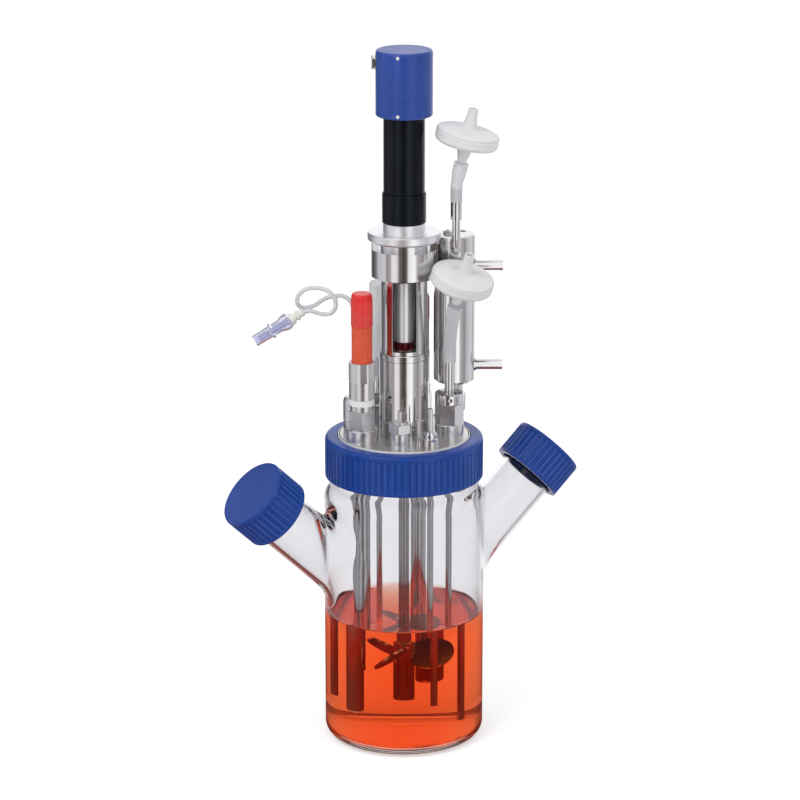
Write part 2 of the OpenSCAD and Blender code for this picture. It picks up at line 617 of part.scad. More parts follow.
module access_valve() color([0.6, 0.56, 0.88, 0.8]) translate(valve_from) rotate(valve_turn)
    difference() {
        rotate_extrude() polygon([[4.7, 10], [5.2, 9.6], [6.2, 11.4], [6.2, 14.6],
            [4.6, 18.6], [4.6, 24], [5.7, 24.6], [5.7, 26.2], [4.5, 27], [4.3, 40],
            [3.5, 40], [3.5, 12.3], [4.7, 12.3]]);
    }
module valve_stem() color([0.35, 0.6, 0.8]) translate(valve_from) rotate(valve_turn)
    translate([0, 0, 12.4]) rotate_extrude() polygon([[0, 0], [3.3, 0], [3.3, 15], [2.6, 16],
        [2.6, 24], [0, 24]]);

// ---- Gas inlet with its sparger, sleeve and filter ----

module inlet_adapter() color([0.74, 0.75, 0.76])
    at(inlet_a, inlet_at, top_z) adapter(10.6, 10, tube_r + 0.1, 6);
module inlet_nut() color([0.8, 0.81, 0.82]) at(inlet_a, inlet_at, top_z + 10) difference() {
    hexagon(10.7, 15.2);
    translate([0, 0, -1]) cylinder(r = 3.6, h = 40);
}
module inlet_collar() color([0.78, 0.79, 0.8]) at(inlet_a, inlet_at, top_z + 25.2) difference() {
    rotate_extrude() polygon([[0, 0], [10.4, 0], [10.6, 0.4], [10.6, 7.4], [9.8, 8], [0, 8]]);
    translate([0, 0, -1]) cylinder(r = 3.6, h = 40);
    for (k = [0:3]) rotate(90*k + 12) translate([6, 0, 4]) rotate([0, 90, 0])
        cylinder(r = 1.6, h = 8);
}
module sparger_tube() color([0.78, 0.79, 0.8]) difference() {
    union() {
        at(inlet_a, inlet_at, 13) cylinder(r = tube_r, h = top_z);
        at(inlet_a, inlet_at, top_z + 10.1) cylinder(r = 3.5, h = inlet_up - top_z - 10.1 + 6);
    }
    at(inlet_a, inlet_at, 12) cylinder(r = tube_r - 0.8, h = inlet_up);
}
module inlet_sleeve() color([0.93, 0.94, 0.94]) difference() {
    swept(smooth(inlet_route, 2), 4.8, 16);
    at(inlet_a, inlet_at, inlet_up - 3) cylinder(r = 3.55, h = 9.2);
}
// A disc filter with a stepped nose at each end, standing on its lower nose
module filter_shape() {
    rotate_extrude() polygon([[0, 0], [3.2, 0], [3.6, 3], [5.2, 9], [5.8, 12.6],
        [filter_r - 4, 14.4], [filter_r - 0.8, 16], [filter_r, 17], [filter_r, 22.6],
        [filter_r - 0.8, 23.6], [filter_r - 3.4, 24.6], [5.6, 26.4], [4.8, 30], [3.7, 37],
        [3.6, 41], [2.4, 41], [2.4, 34], [0, 34]]);
}
module inlet_filter() color([0.94, 0.94, 0.93]) translate(inlet_route[5] + [0, 0, 2])
    lean(inlet_tilt, inlet_toward) filter_shape();

// ---- Condenser, exhaust tube, sleeve and filter ----

module condenser_fitting() color([0.76, 0.77, 0.78]) at(cond_a, cond_at, top_z) difference() {
    union() {
        adapter(6.6, 8, 3, 4.5);
        translate([0, 0, 8]) cylinder(r = 6.2, h = 6);
        translate([0, 0, 14]) hexagon(9.6, 12);
        translate([0, 0, 26]) cylinder(r = 6.6, h = 10);
    }
    translate([0, 0, -5]) cylinder(r = 3, h = 60);
}
module condenser() color([0.8, 0.81, 0.82]) at(cond_a, cond_at, cond_z) difference() {
    union() {
        rotate_extrude($fn = 64) polygon([[0, 0], [cond_r - 1.6, 0], [cond_r, 1.6],
            [cond_r, cond_h - 2.2], [cond_r - 0.7, cond_h - 0.7], [cond_r - 2.2, cond_h],
            [0, cond_h]]);
        for (z = [12, cond_h - 24]) translate([0, 0, z]) rotate(-24.7) rotate([0, 90, 0]) {
            cylinder(r = nipple_r, h = cond_r + 20);
            cylinder(r = nipple_r + 1, h = cond_r + 0.6);
        }
        rotate(200) translate([7.6, 0, cond_h - 0.5]) rotate_extrude()
            polygon([[0, 0], [3.4, 0], [3.4, 3.1], [2.8, 3.7], [0, 3.7]]);
    }
    rotate(200) translate([7.6, 0, cond_h + 1.4]) cylinder(r = 1.7, h = 4, $fn = 6);
    translate([0, 0, 4]) cylinder(r = cond_r - 2, h = cond_h - 9);
    translate([0, 0, -1]) cylinder(r = 3, h = 20);
    for (z = [12, cond_h - 24]) translate([0, 0, z]) rotate(-24.7)
        rotate([0, 90, 0]) cylinder(r = nipple_r - 1, h = cond_r + 21);
    rotate(exhaust_a - cond_a) translate([0, 0, cond_h - 9]) rotate([0, 90, 0])
        cylinder(r = 3.15, h = 30);
    rotate(20) translate([8, 0, cond_h - 2]) cylinder(r = 3, h = 6, $fn = 6);
}
module exhaust_tube() color([0.8, 0.81, 0.82]) at(cond_a, cond_at) rotate(exhaust_a - cond_a) {
    translate([cond_r - 4, 0, exhaust_z]) rotate([0, 90, 0]) cylinder(r = 3.1, h = 4);
    translate([cond_r, 0, exhaust_z + exhaust_bend]) rotate([90, 0, 0]) rotate(-90)
        rotate_extrude(angle = 90) translate([exhaust_bend, 0]) circle(r = 3.1);
    translate([exhaust_out, 0, exhaust_z + exhaust_bend])
        cylinder(r = 3.1, h = exhaust_up + 9 - exhaust_z - exhaust_bend);
    translate([exhaust_out, 0, exhaust_up - 14]) cylinder(r = 4.2, h = 12.9);
}
module exhaust_top() {
    translate([exhaust_p[0], exhaust_p[1], exhaust_up + 11])
        lean(exhaust_tilt, exhaust_toward) children();
}
module exhaust_sleeve() color([0.93, 0.94, 0.94]) difference() {
    union() {
        translate([exhaust_p[0], exhaust_p[1], exhaust_up - 1]) cylinder(r = 4.3, h = 12.5);
        exhaust_top() {
            translate([0, 0, -0.7]) cylinder(r = 4.2, h = 17.7);
            translate([0, 0, 11]) rotate(-20) rotate([0, 62, 0]) cylinder(r = 1.7, h = 9);
        }
    }
    translate([exhaust_p[0], exhaust_p[1], exhaust_up - 3]) cylinder(r = 3.15, h = 12.1);
}
module exhaust_filter() color([0.94, 0.94, 0.93])
    exhaust_top() translate([0, 0, 17]) filter_shape();

// ---- Small ports at the front and rear ----

module front_fitting() color([0.8, 0.81, 0.82]) at(front_a, front_at, top_z) difference() {
    union() {
        adapter(7, 11.3, 1, 5);
        translate([0, 0, 11.3]) hexagon(8.8, 6.6);
        translate([0, 0, 17.9]) cylinder(r = 5.6, h = 1.4);
        translate([0, 0, 19]) cylinder(r = 1.7, h = 8);
    }
    translate([0, 0, -5]) cylinder(r = 1, h = 60);
}
module feed_tube() color([0.79, 0.8, 0.81]) at(feed_a, feed_at, top_z) difference() {
    union() {
        adapter(6.4, 5, tube_r - 0.5, 4);
        translate([0, 0, 5]) rotate_extrude() polygon([[0, 0], [5.4, 0], [5.4, 2.4], [4.2, 4.4],
            [0, 4.4]]);
        translate([0, 0, 32 - top_z]) cylinder(r = tube_r, h = top_z + 26.5 - 32);
    }
    translate([0, 0, 31 - top_z]) cylinder(r = tube_r - 0.8, h = 400);
}
module vent_tube() color([0.78, 0.79, 0.8]) at(vent_a, vent_at, top_z - 4) difference() {
    union() {
        cylinder(r = 1.25, h = 25.6);
        translate([0, 0, 4]) cylinder(r = 2.4, h = 2.4);
    }
    translate([0, 0, -1]) cylinder(r = 0.6, h = 60);
}
module rear_tube() color([0.78, 0.79, 0.8]) difference() {
    union() {
        at(hose_a, hose_at, 43) cylinder(r = tube_r, h = top_z + 48 - 43);
        at(hose_a, hose_at, top_z) adapter(8.6, 14, tube_r, 4.5);
        at(hose_a, hose_at, top_z + 14) hexagon(8.8, 9);
    }
    at(hose_a, hose_at, 42) cylinder(r = tube_r - 0.8, h = 400);
}
module rear_sleeve() color([0.86, 0.88, 0.89]) at(hose_a, hose_at, top_z + 36) difference() {
    rotate_extrude() polygon([[0, 0], [6.8, 0], [7, 0.4], [7, hose_h - 1.4], [6.2, hose_h],
        [0, hose_h]]);
    translate([0, 0, -1]) cylinder(r = tube_r + 0.02, h = 14);
}

glass_vessel();
side_arms();
culture_medium();
left_cap();
left_cap_seal();
right_cap();
right_cap_seal();
head_plate();
vessel_seal();
slip_ring();
clamp_ring();
bearing_housing();
shaft_bearings();
shaft_seal();
coupling_sleeve();
coupling_nut();
drive_flange();
motor_collar();
motor_body();
motor_shaft();
motor_cap();
motor_screws();
motor_socket();
coupling_hubs();
coupling_spider();
stirrer_shaft();
impeller();
probe_adapter();
probe_nut();
probe_washer();
probe_collar();
probe_shaft();
probe_head();
probe_cap();
rear_fitting();
rear_probe();
rear_probe_head();
rear_probe_cap();
sample_fitting();
sample_tube();
sample_line();
line_connector();
access_valve();
valve_stem();
inlet_adapter();
inlet_nut();
inlet_collar();
sparger_tube();
inlet_sleeve();
inlet_filter();
condenser_fitting();
condenser();
exhaust_tube();
exhaust_sleeve();
exhaust_filter();
front_fitting();
feed_tube();
vent_tube();
rear_tube();
rear_sleeve();
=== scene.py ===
import json
import math

import bpy
import numpy as np
from mathutils import Matrix, Vector


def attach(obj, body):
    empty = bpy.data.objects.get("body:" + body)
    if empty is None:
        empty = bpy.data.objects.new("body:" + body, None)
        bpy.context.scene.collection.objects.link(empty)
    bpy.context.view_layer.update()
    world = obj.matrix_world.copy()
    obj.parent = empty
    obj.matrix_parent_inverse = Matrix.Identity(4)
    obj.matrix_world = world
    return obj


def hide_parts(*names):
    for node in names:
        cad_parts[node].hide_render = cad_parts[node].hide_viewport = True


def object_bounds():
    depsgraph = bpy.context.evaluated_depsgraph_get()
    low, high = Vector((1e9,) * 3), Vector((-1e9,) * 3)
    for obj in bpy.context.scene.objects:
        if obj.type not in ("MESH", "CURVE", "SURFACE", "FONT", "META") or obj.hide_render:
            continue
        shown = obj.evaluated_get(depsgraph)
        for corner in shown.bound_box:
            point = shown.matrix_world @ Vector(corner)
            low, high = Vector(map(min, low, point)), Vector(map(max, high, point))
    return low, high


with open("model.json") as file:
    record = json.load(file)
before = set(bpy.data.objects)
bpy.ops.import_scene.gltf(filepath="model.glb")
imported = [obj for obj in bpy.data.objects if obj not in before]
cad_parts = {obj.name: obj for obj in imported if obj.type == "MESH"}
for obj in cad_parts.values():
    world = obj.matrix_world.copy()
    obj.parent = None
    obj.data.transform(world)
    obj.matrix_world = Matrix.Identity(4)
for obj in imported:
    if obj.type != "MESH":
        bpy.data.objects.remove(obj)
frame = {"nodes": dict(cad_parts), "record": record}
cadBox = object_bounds()
cadNodes = frame["nodes"]
mm = 0.001  # one millimetre in scene units
print("frame loaded:", len(cadNodes), "nodes")


# shapes as whole arrays

def unitRows(v):
    # each row divided by its own length
    return v / np.maximum(np.linalg.norm(v, axis=-1, keepdims=True), 1e-12)


def softProfile(corners, steps=5, closed=False):
    # corners (r, z, cut): each corner is cut back by its third value along both sides and bridged by
    # a parabola, start*(1-s)^2 + 2*corner*s*(1-s) + end*s^2
    c = np.array(corners, float) * mm
    p, cut = c[:, :2], c[:, 2:]
    before = unitRows(np.roll(p, 1, 0) - p)
    after = unitRows(np.roll(p, -1, 0) - p)
    if not closed:
        cut[[0, -1]] = 0
    s = np.linspace(0, 1, steps)[None, :, None]
    start, end, mid = (p + cut * before)[:, None], (p + cut * after)[:, None], p[:, None]
    line = (start * (1 - s) ** 2 + 2 * mid * s * (1 - s) + end * s ** 2).reshape(-1, 2)
    keep = np.r_[True, np.linalg.norm(np.diff(line, axis=0), axis=1) > 1e-8]
    return line[keep]


def denseProfile(line, gap):
    # the same outline with a point at least every gap along it
    length = np.r_[0, np.cumsum(np.linalg.norm(np.diff(line, axis=0), axis=1))]
    extra = np.arange(0, length[-1], gap)
    at = np.unique(np.r_[length, extra].round(9))
    return np.stack([np.interp(at, length, line[:, k]) for k in (0, 1)], 1)


def gridFaces(rows, cols, wrapRows=False, caps=True):
    # quads between neighbouring rows of a grid that closes round its columns, with the end rows capped
    i = np.arange(rows if wrapRows else rows - 1)[:, None]
    j = np.arange(cols)[None, :]
    below, above, nextCol = i * cols, ((i + 1) % rows) * cols, (j + 1) % cols
    quads = np.stack([below + j, below + nextCol, above + nextCol, above + j], -1).reshape(-1, 4)
    faces = quads.tolist()
    if caps and not wrapRows:
        faces.append(np.arange(cols)[::-1].tolist())
        faces.append(((rows - 1) * cols + np.arange(cols)).tolist())
    return faces


def turned(line, sides):
    # surface of revolution: x = r cos a, y = r sin a, z from the outline
    a = np.linspace(0, 2 * np.pi, sides, endpoint=False)
    r, z = line[:, :1], line[:, 1:]
    return np.stack([r * np.cos(a), r * np.sin(a), z + 0 * a], -1)


def ribWave(a, count, share):
    # 0 in the grooves and 1 on the ribs: a cosine squeezed to a plateau, share of the pitch is rib
    return 1 / (1 + np.exp(-9 * (np.cos(a * count) + math.cos(math.pi * (1 - share)))))


def smoothPath(points, steps):
    # Catmull-Rom: a cubic between two points with the slope of their neighbours
    p = np.vstack([points[:1], points, points[-1:]])
    a, b, c, d = (p[k:len(p) - 3 + k, None] for k in range(4))
    t = (np.arange(steps) / steps)[None, :, None]
    line = (b + (c - a) * t / 2 + (2 * a - 5 * b + 4 * c - d) * t ** 2 / 2
            + (3 * b - a - 3 * c + d) * t ** 3 / 2)
    return np.vstack([line.reshape(-1, 3), points[-1:]])


def tubeAlong(path, radii, sides, away):
    # a ring square to the path at each of its points; away is a direction that the path never takes
    slope = unitRows(np.gradient(path, axis=0))
    side = unitRows(np.cross(slope, np.array(away, float)))
    other = np.cross(slope, side)
    a = np.linspace(0, 2 * np.pi, sides, endpoint=False)[None, :, None]
    r = np.broadcast_to(radii, len(path))[:, None, None]
    return path[:, None] + r * (np.cos(a) * side[:, None] + np.sin(a) * other[:, None])


def leaning(tilt, toward):
    # turns Z by tilt degrees towards the heading
    turn = Matrix.Rotation(math.radians(toward), 3, "Z")
    return np.array(turn @ Matrix.Rotation(math.radians(tilt), 3, "Y") @ turn.transposed())


def placed(points, turn=None, at=(0, 0, 0)):
    # points turned by a 3 x 3 matrix and moved
    flat = points.reshape(-1, 3)
    if turn is not None:
        flat = flat @ np.array(turn).T
    return flat + np.array(at, float)


def addPiece(name, points, faces, material, body, standsFor, normals=None, sharp=38, ridge=None):
    # a finished piece: mesh in place, material, body and the nodes it stands for; ridge is a
    # value from 0 to 1 for each point that its material can read
    mesh = bpy.data.meshes.new(name)
    mesh.from_pydata(points.reshape(-1, 3).tolist(), [], faces)
    mesh.polygons.foreach_set("use_smooth", np.ones(len(mesh.polygons), bool))
    mesh.update()
    if normals is None:
        mesh.set_sharp_from_angle(angle=math.radians(sharp))
    else:
        mesh.normals_split_custom_set_from_vertices(normals.tolist())
    if ridge is not None:
        values = mesh.attributes.new("ridge", "FLOAT", "POINT").data
        values.foreach_set("value", ridge.ravel().astype(np.float32))
    mesh.materials.append(material)
    piece = bpy.data.objects.new(name, mesh)
    bpy.context.scene.collection.objects.link(piece)
    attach(piece, body)
    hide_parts(*standsFor)
    return piece


# camera

view = {"azimuth": -28, "elevation": 16.6, "distance": 2.352, "aim": (-0.0026, 0.0014, 0.2584), "lens": 144.5}


def backVector(v):
    # from the object towards the camera
    a, e = math.radians(v["azimuth"]), math.radians(v["elevation"])
    return Vector((math.sin(a) * math.cos(e), -math.cos(a) * math.cos(e), math.sin(e)))


def addCamera(v):
    camera = bpy.data.objects.new("camera", bpy.data.cameras.new("camera"))
    camera.data.lens = v["lens"]
    camera.data.sensor_width = 36
    camera.data.clip_end = 60
    camera.location = Vector(v["aim"]) + backVector(v) * v["distance"]
    camera.rotation_euler = backVector(v).to_track_quat("Z", "Y").to_euler()
    bpy.context.scene.collection.objects.link(camera)
    bpy.context.scene.camera = camera


addCamera(view)
print("camera placed")


# shared effects

def newGroup(name, inputs, outputs):
    # an empty shader group with its sockets, inputs (label, kind, value) and outputs (label, kind)
    group = bpy.data.node_groups.new(name, "ShaderNodeTree")
    for label, kind, value in inputs:
        socket = group.interface.new_socket(label, in_out="INPUT", socket_type="NodeSocket" + kind)
        socket.default_value = value
    for label, kind in outputs:
        group.interface.new_socket(label, in_out="OUTPUT", socket_type="NodeSocket" + kind)
    return group, group.nodes.new("NodeGroupInput"), group.nodes.new("NodeGroupOutput")


def addNode(tree, kind, links=(), **values):
    # a node with plain settings, and links (input, socket) into it
    node = tree.nodes.new(kind)
    for key, value in values.items():
        if key in node.inputs:
            node.inputs[key].default_value = value
        else:
            setattr(node, key, value)
    for key, socket in links:
        tree.links.new(socket, node.inputs[key])
    return node


def addRange(tree, value, low, high):
    # value from 0.3..0.7 to low..high, where low and high are sockets or numbers
    node = addNode(tree, "ShaderNodeMapRange", [("Value", value)])
    node.inputs["From Min"].default_value = 0.3
    node.inputs["From Max"].default_value = 0.7
    for key, end in (("To Min", low), ("To Max", high)):
        if isinstance(end, (int, float)):
            node.inputs[key].default_value = end
        else:
            tree.links.new(end, node.inputs[key])
    return node.outputs["Result"]


def smudgeGroup():
    # handling marks: soft clouds and a finer layer give a roughness between Low and High
    group, enter, leave = newGroup(
        "handlingMarks", [("Scale", "Float", 60), ("Low", "Float", 0.1), ("High", "Float", 0.2)],
        [("Roughness", "Float"), ("Mask", "Float")])
    place = addNode(group, "ShaderNodeTexCoord")
    clouds = addNode(group, "ShaderNodeTexNoise",
                     [("Vector", place.outputs["Object"]), ("Scale", enter.outputs["Scale"])],
                     Detail=5.0, Roughness=0.62)
    group.links.new(addRange(group, clouds.outputs["Fac"], enter.outputs["Low"], enter.outputs["High"]),
                    leave.inputs["Roughness"])
    group.links.new(clouds.outputs["Fac"], leave.inputs["Mask"])
    return group


def turnedGroup():
    # tool marks of a lathe: noise stretched round the axis, so it changes along Z only
    group, enter, leave = newGroup("toolMarks", [("Lines", "Float", 2500)], [("Height", "Float")])
    place = addNode(group, "ShaderNodeTexCoord")
    stretch = addNode(group, "ShaderNodeCombineXYZ", X=3.0, Y=3.0)
    group.links.new(enter.outputs["Lines"], stretch.inputs["Z"])
    spread = addNode(group, "ShaderNodeVectorMath",
                     [(0, place.outputs["Object"]), (1, stretch.outputs["Vector"])], operation="MULTIPLY")
    marks = addNode(group, "ShaderNodeTexNoise", [("Vector", spread.outputs["Vector"])],
                    Scale=1.0, Detail=3.0)
    group.links.new(marks.outputs["Fac"], leave.inputs["Height"])
    return group


def mouldedGroup():
    # moulded plastic: a colour that drifts a little between Shade and Light, and a fine skin grain
    group, enter, leave = newGroup(
        "mouldedSkin", [("Shade", "Color", (0.2, 0.2, 0.2, 1)), ("Light", "Color", (0.3, 0.3, 0.3, 1)),
                        ("Drift", "Float", 35), ("Grain", "Float", 2600)],
        [("Color", "Color"), ("Height", "Float"), ("Mask", "Float")])
    place = addNode(group, "ShaderNodeTexCoord")
    drift = addNode(group, "ShaderNodeTexNoise",
                    [("Vector", place.outputs["Object"]), ("Scale", enter.outputs["Drift"])], Detail=3.0)
    grain = addNode(group, "ShaderNodeTexNoise",
                    [("Vector", place.outputs["Object"]), ("Scale", enter.outputs["Grain"])], Detail=2.0)
    blend = addNode(group, "ShaderNodeMix", data_type="RGBA")
    group.links.new(addRange(group, drift.outputs["Fac"], 0.0, 1.0), blend.inputs[0])
    group.links.new(enter.outputs["Shade"], blend.inputs[6])
    group.links.new(enter.outputs["Light"], blend.inputs[7])
    group.links.new(blend.outputs[2], leave.inputs["Color"])
    group.links.new(grain.outputs["Fac"], leave.inputs["Height"])
    group.links.new(drift.outputs["Fac"], leave.inputs["Mask"])
    return group


def edgeGroup():
    # painted highlight on edges: a pale mask where the mesh is convex, broken up by noise
    group, enter, leave = newGroup("paintedEdgeHighlight", [("Amount", "Float", 1), ("Start", "Float", 0.52)],
                                   [("Mask", "Float")])
    shape = addNode(group, "ShaderNodeNewGeometry")
    place = addNode(group, "ShaderNodeTexCoord")
    patch = addNode(group, "ShaderNodeTexNoise", [("Vector", place.outputs["Object"])],
                    Scale=240.0, Detail=3.0)
    rise = addNode(group, "ShaderNodeMath", [(0, shape.outputs["Pointiness"]), (1, enter.outputs["Start"])],
                   operation="SUBTRACT")
    steep = addNode(group, "ShaderNodeMath", [(0, rise.outputs[0])], operation="MULTIPLY")
    steep.inputs[1].default_value = 9
    broken = addNode(group, "ShaderNodeMath", [(0, steep.outputs[0]), (1, patch.outputs["Fac"])],
                     operation="MULTIPLY")
    scaled = addNode(group, "ShaderNodeMath", [(0, broken.outputs[0]), (1, enter.outputs["Amount"])],
                     operation="MULTIPLY", use_clamp=True)
    group.links.new(scaled.outputs[0], leave.inputs["Mask"])
    return group


handlingMarks = smudgeGroup()
toolMarks = turnedGroup()
mouldedSkin = mouldedGroup()
paintedEdgeHighlight = edgeGroup()
print("shared effects built")


# materials

def placeGroup(tree, group, **values):
    # a shared effect in a material, with its own values
    node = tree.nodes.new("ShaderNodeGroup")
    node.node_tree = group
    for key, value in values.items():
        node.inputs[key].default_value = value
    return node


def newMaterial(name, **plain):
    # a material with its Principled BSDF; plain values are set on the shader's own sockets
    material = bpy.data.materials.new(name)
    material.use_nodes = True
    tree = material.node_tree
    shader = tree.nodes["Principled BSDF"]
    for key, value in plain.items():
        shader.inputs[key.replace("_", " ")].default_value = value
    return material, tree, shader


def addBump(tree, shader, height, strength, distance):
    # distance is the full depth of the relief in metres
    bump = addNode(tree, "ShaderNodeBump", [("Height", height)], Strength=strength, Distance=distance)
    tree.links.new(bump.outputs["Normal"], shader.inputs["Normal"])


def mixColours(tree, mask, dark, light):
    # dark where the mask is 0 and light where it is 1
    blend = addNode(tree, "ShaderNodeMix", data_type="RGBA")
    blend.inputs[6].default_value = (*dark, 1)
    blend.inputs[7].default_value = (*light, 1)
    tree.links.new(mask, blend.inputs[0])
    return blend.outputs[2]


def metalMaterial(name, v):
    # bare metal: roughness from handling marks, tool marks as a shallow bump, colour from the same marks
    material, tree, shader = newMaterial(name, Metallic=v.get("metallic", 1.0))
    marks = placeGroup(tree, handlingMarks, Scale=v["smudge"], Low=v["rough"][0], High=v["rough"][1])
    lines = placeGroup(tree, toolMarks, Lines=v["lines"])
    tree.links.new(marks.outputs["Roughness"], shader.inputs["Roughness"])
    colour = mixColours(tree, marks.outputs["Mask"], v["dark"], v["light"])
    tree.links.new(colour, shader.inputs["Base Color"])
    addBump(tree, shader, lines.outputs["Height"], v["depth"], 0.00002)
    return material


metals = {
    "polished_steel": {"dark": (0.62, 0.61, 0.61), "light": (0.76, 0.755, 0.76), "rough": (0.07, 0.12),
                       "smudge": 55, "lines": 1800, "depth": 0.05},
    "turned_steel": {"dark": (0.60, 0.59, 0.59), "light": (0.74, 0.73, 0.735), "rough": (0.08, 0.14),
                     "smudge": 70, "lines": 1800, "depth": 0.03},
    "plate_steel": {"dark": (0.60, 0.59, 0.59), "light": (0.76, 0.75, 0.755), "rough": (0.26, 0.38),
                    "smudge": 45, "lines": 2200, "depth": 0.05},
    "shaft_steel": {"dark": (0.55, 0.53, 0.52), "light": (0.68, 0.66, 0.65), "rough": (0.10, 0.16),
                    "smudge": 60, "lines": 2000, "depth": 0.05},
    "bearing_steel": {"dark": (0.58, 0.58, 0.58), "light": (0.72, 0.72, 0.72), "rough": (0.1, 0.16),
                      "smudge": 90, "lines": 3000, "depth": 0.05},
    "satin_steel": {"dark": (0.60, 0.59, 0.59), "light": (0.76, 0.75, 0.755), "rough": (0.24, 0.36),
                    "smudge": 120, "lines": 1500, "depth": 0.05},
    # a paler, half-metallic copy of the satin aluminium: painted light, so the hub reads lit where it would
    # mirror the dark sleeve
    "hub_painted_bright": {"dark": (0.86, 0.86, 0.87), "light": (0.93, 0.93, 0.94), "rough": (0.30, 0.38),
                   "metallic": 0.55, "smudge": 80, "lines": 3200, "depth": 0.1},
    "aluminium_satin": {"dark": (0.78, 0.785, 0.80), "light": (0.88, 0.885, 0.90), "rough": (0.34, 0.44),
                        "smudge": 80, "lines": 3200, "depth": 0.12},
}


def blackAnodised():
    # near-black dyed skin on metal, a little blue, with faint tool marks
    material, tree, shader = newMaterial("blackAnodised", Metallic=0.3)
    shader.inputs["Specular IOR Level"].default_value = 0.16
    marks = placeGroup(tree, handlingMarks, Scale=70, Low=0.18, High=0.27)
    lines = placeGroup(tree, toolMarks, Lines=1500)
    tree.links.new(marks.outputs["Roughness"], shader.inputs["Roughness"])
    tree.links.new(mixColours(tree, marks.outputs["Mask"], (0.004, 0.0055, 0.009), (0.009, 0.012, 0.019)),
                   shader.inputs["Base Color"])
    addBump(tree, shader, lines.outputs["Height"], 0.06, 0.00002)
    return material


def plasticMaterial(name, v):
    # moulded plastic: drifting colour, a painted highlight in a paler colour on convex edges, fine skin and
    # its own gloss
    material, tree, shader = newMaterial(name, IOR=v.get("ior", 1.49))
    shader.inputs["Transmission Weight"].default_value = v.get("clear", 0)
    shader.inputs["Subsurface Weight"].default_value = v.get("glow", 0)
    shader.inputs["Subsurface Radius"].default_value = (0.004, 0.004, 0.004)
    shader.inputs["Subsurface Scale"].default_value = 1
    shader.inputs["Specular IOR Level"].default_value = v.get("sheen", 0.35)
    skin = placeGroup(tree, mouldedSkin, Shade=(*v["dark"], 1), Light=(*v["light"], 1), Drift=35, Grain=2600)
    marks = placeGroup(tree, handlingMarks, Scale=90, Low=v["rough"][0], High=v["rough"][1])
    edgeHighlightNode = placeGroup(tree, paintedEdgeHighlight, Amount=v.get("edgeHighlight", 0.5), Start=0.52)
    # painted highlight: the edge colour, else the light one, laid over the skin where the mask is high
    pale = addNode(tree, "ShaderNodeMix", data_type="RGBA")
    pale.inputs[7].default_value = (*v.get("edge", v["light"]), 1)
    highlightMask = edgeHighlightNode.outputs["Mask"]
    # painted highlight on the rib tops: the ridge attribute adds to the edge highlight mask
    if "ridge" in v:
        high = addNode(tree, "ShaderNodeAttribute", attribute_name="ridge")
        scaled = addNode(tree, "ShaderNodeMath", [(0, high.outputs["Fac"]), (2, highlightMask)],
                         operation="MULTIPLY_ADD", use_clamp=True)
        scaled.inputs[1].default_value = v["ridge"]
        highlightMask = scaled.outputs[0]
    tree.links.new(highlightMask, pale.inputs[0])
    tree.links.new(skin.outputs["Color"], pale.inputs[6])
    tree.links.new(pale.outputs[2], shader.inputs["Base Color"])
    tree.links.new(marks.outputs["Roughness"], shader.inputs["Roughness"])
    addBump(tree, shader, skin.outputs["Height"], v.get("bump", 0.12), 0.00004)
    return material


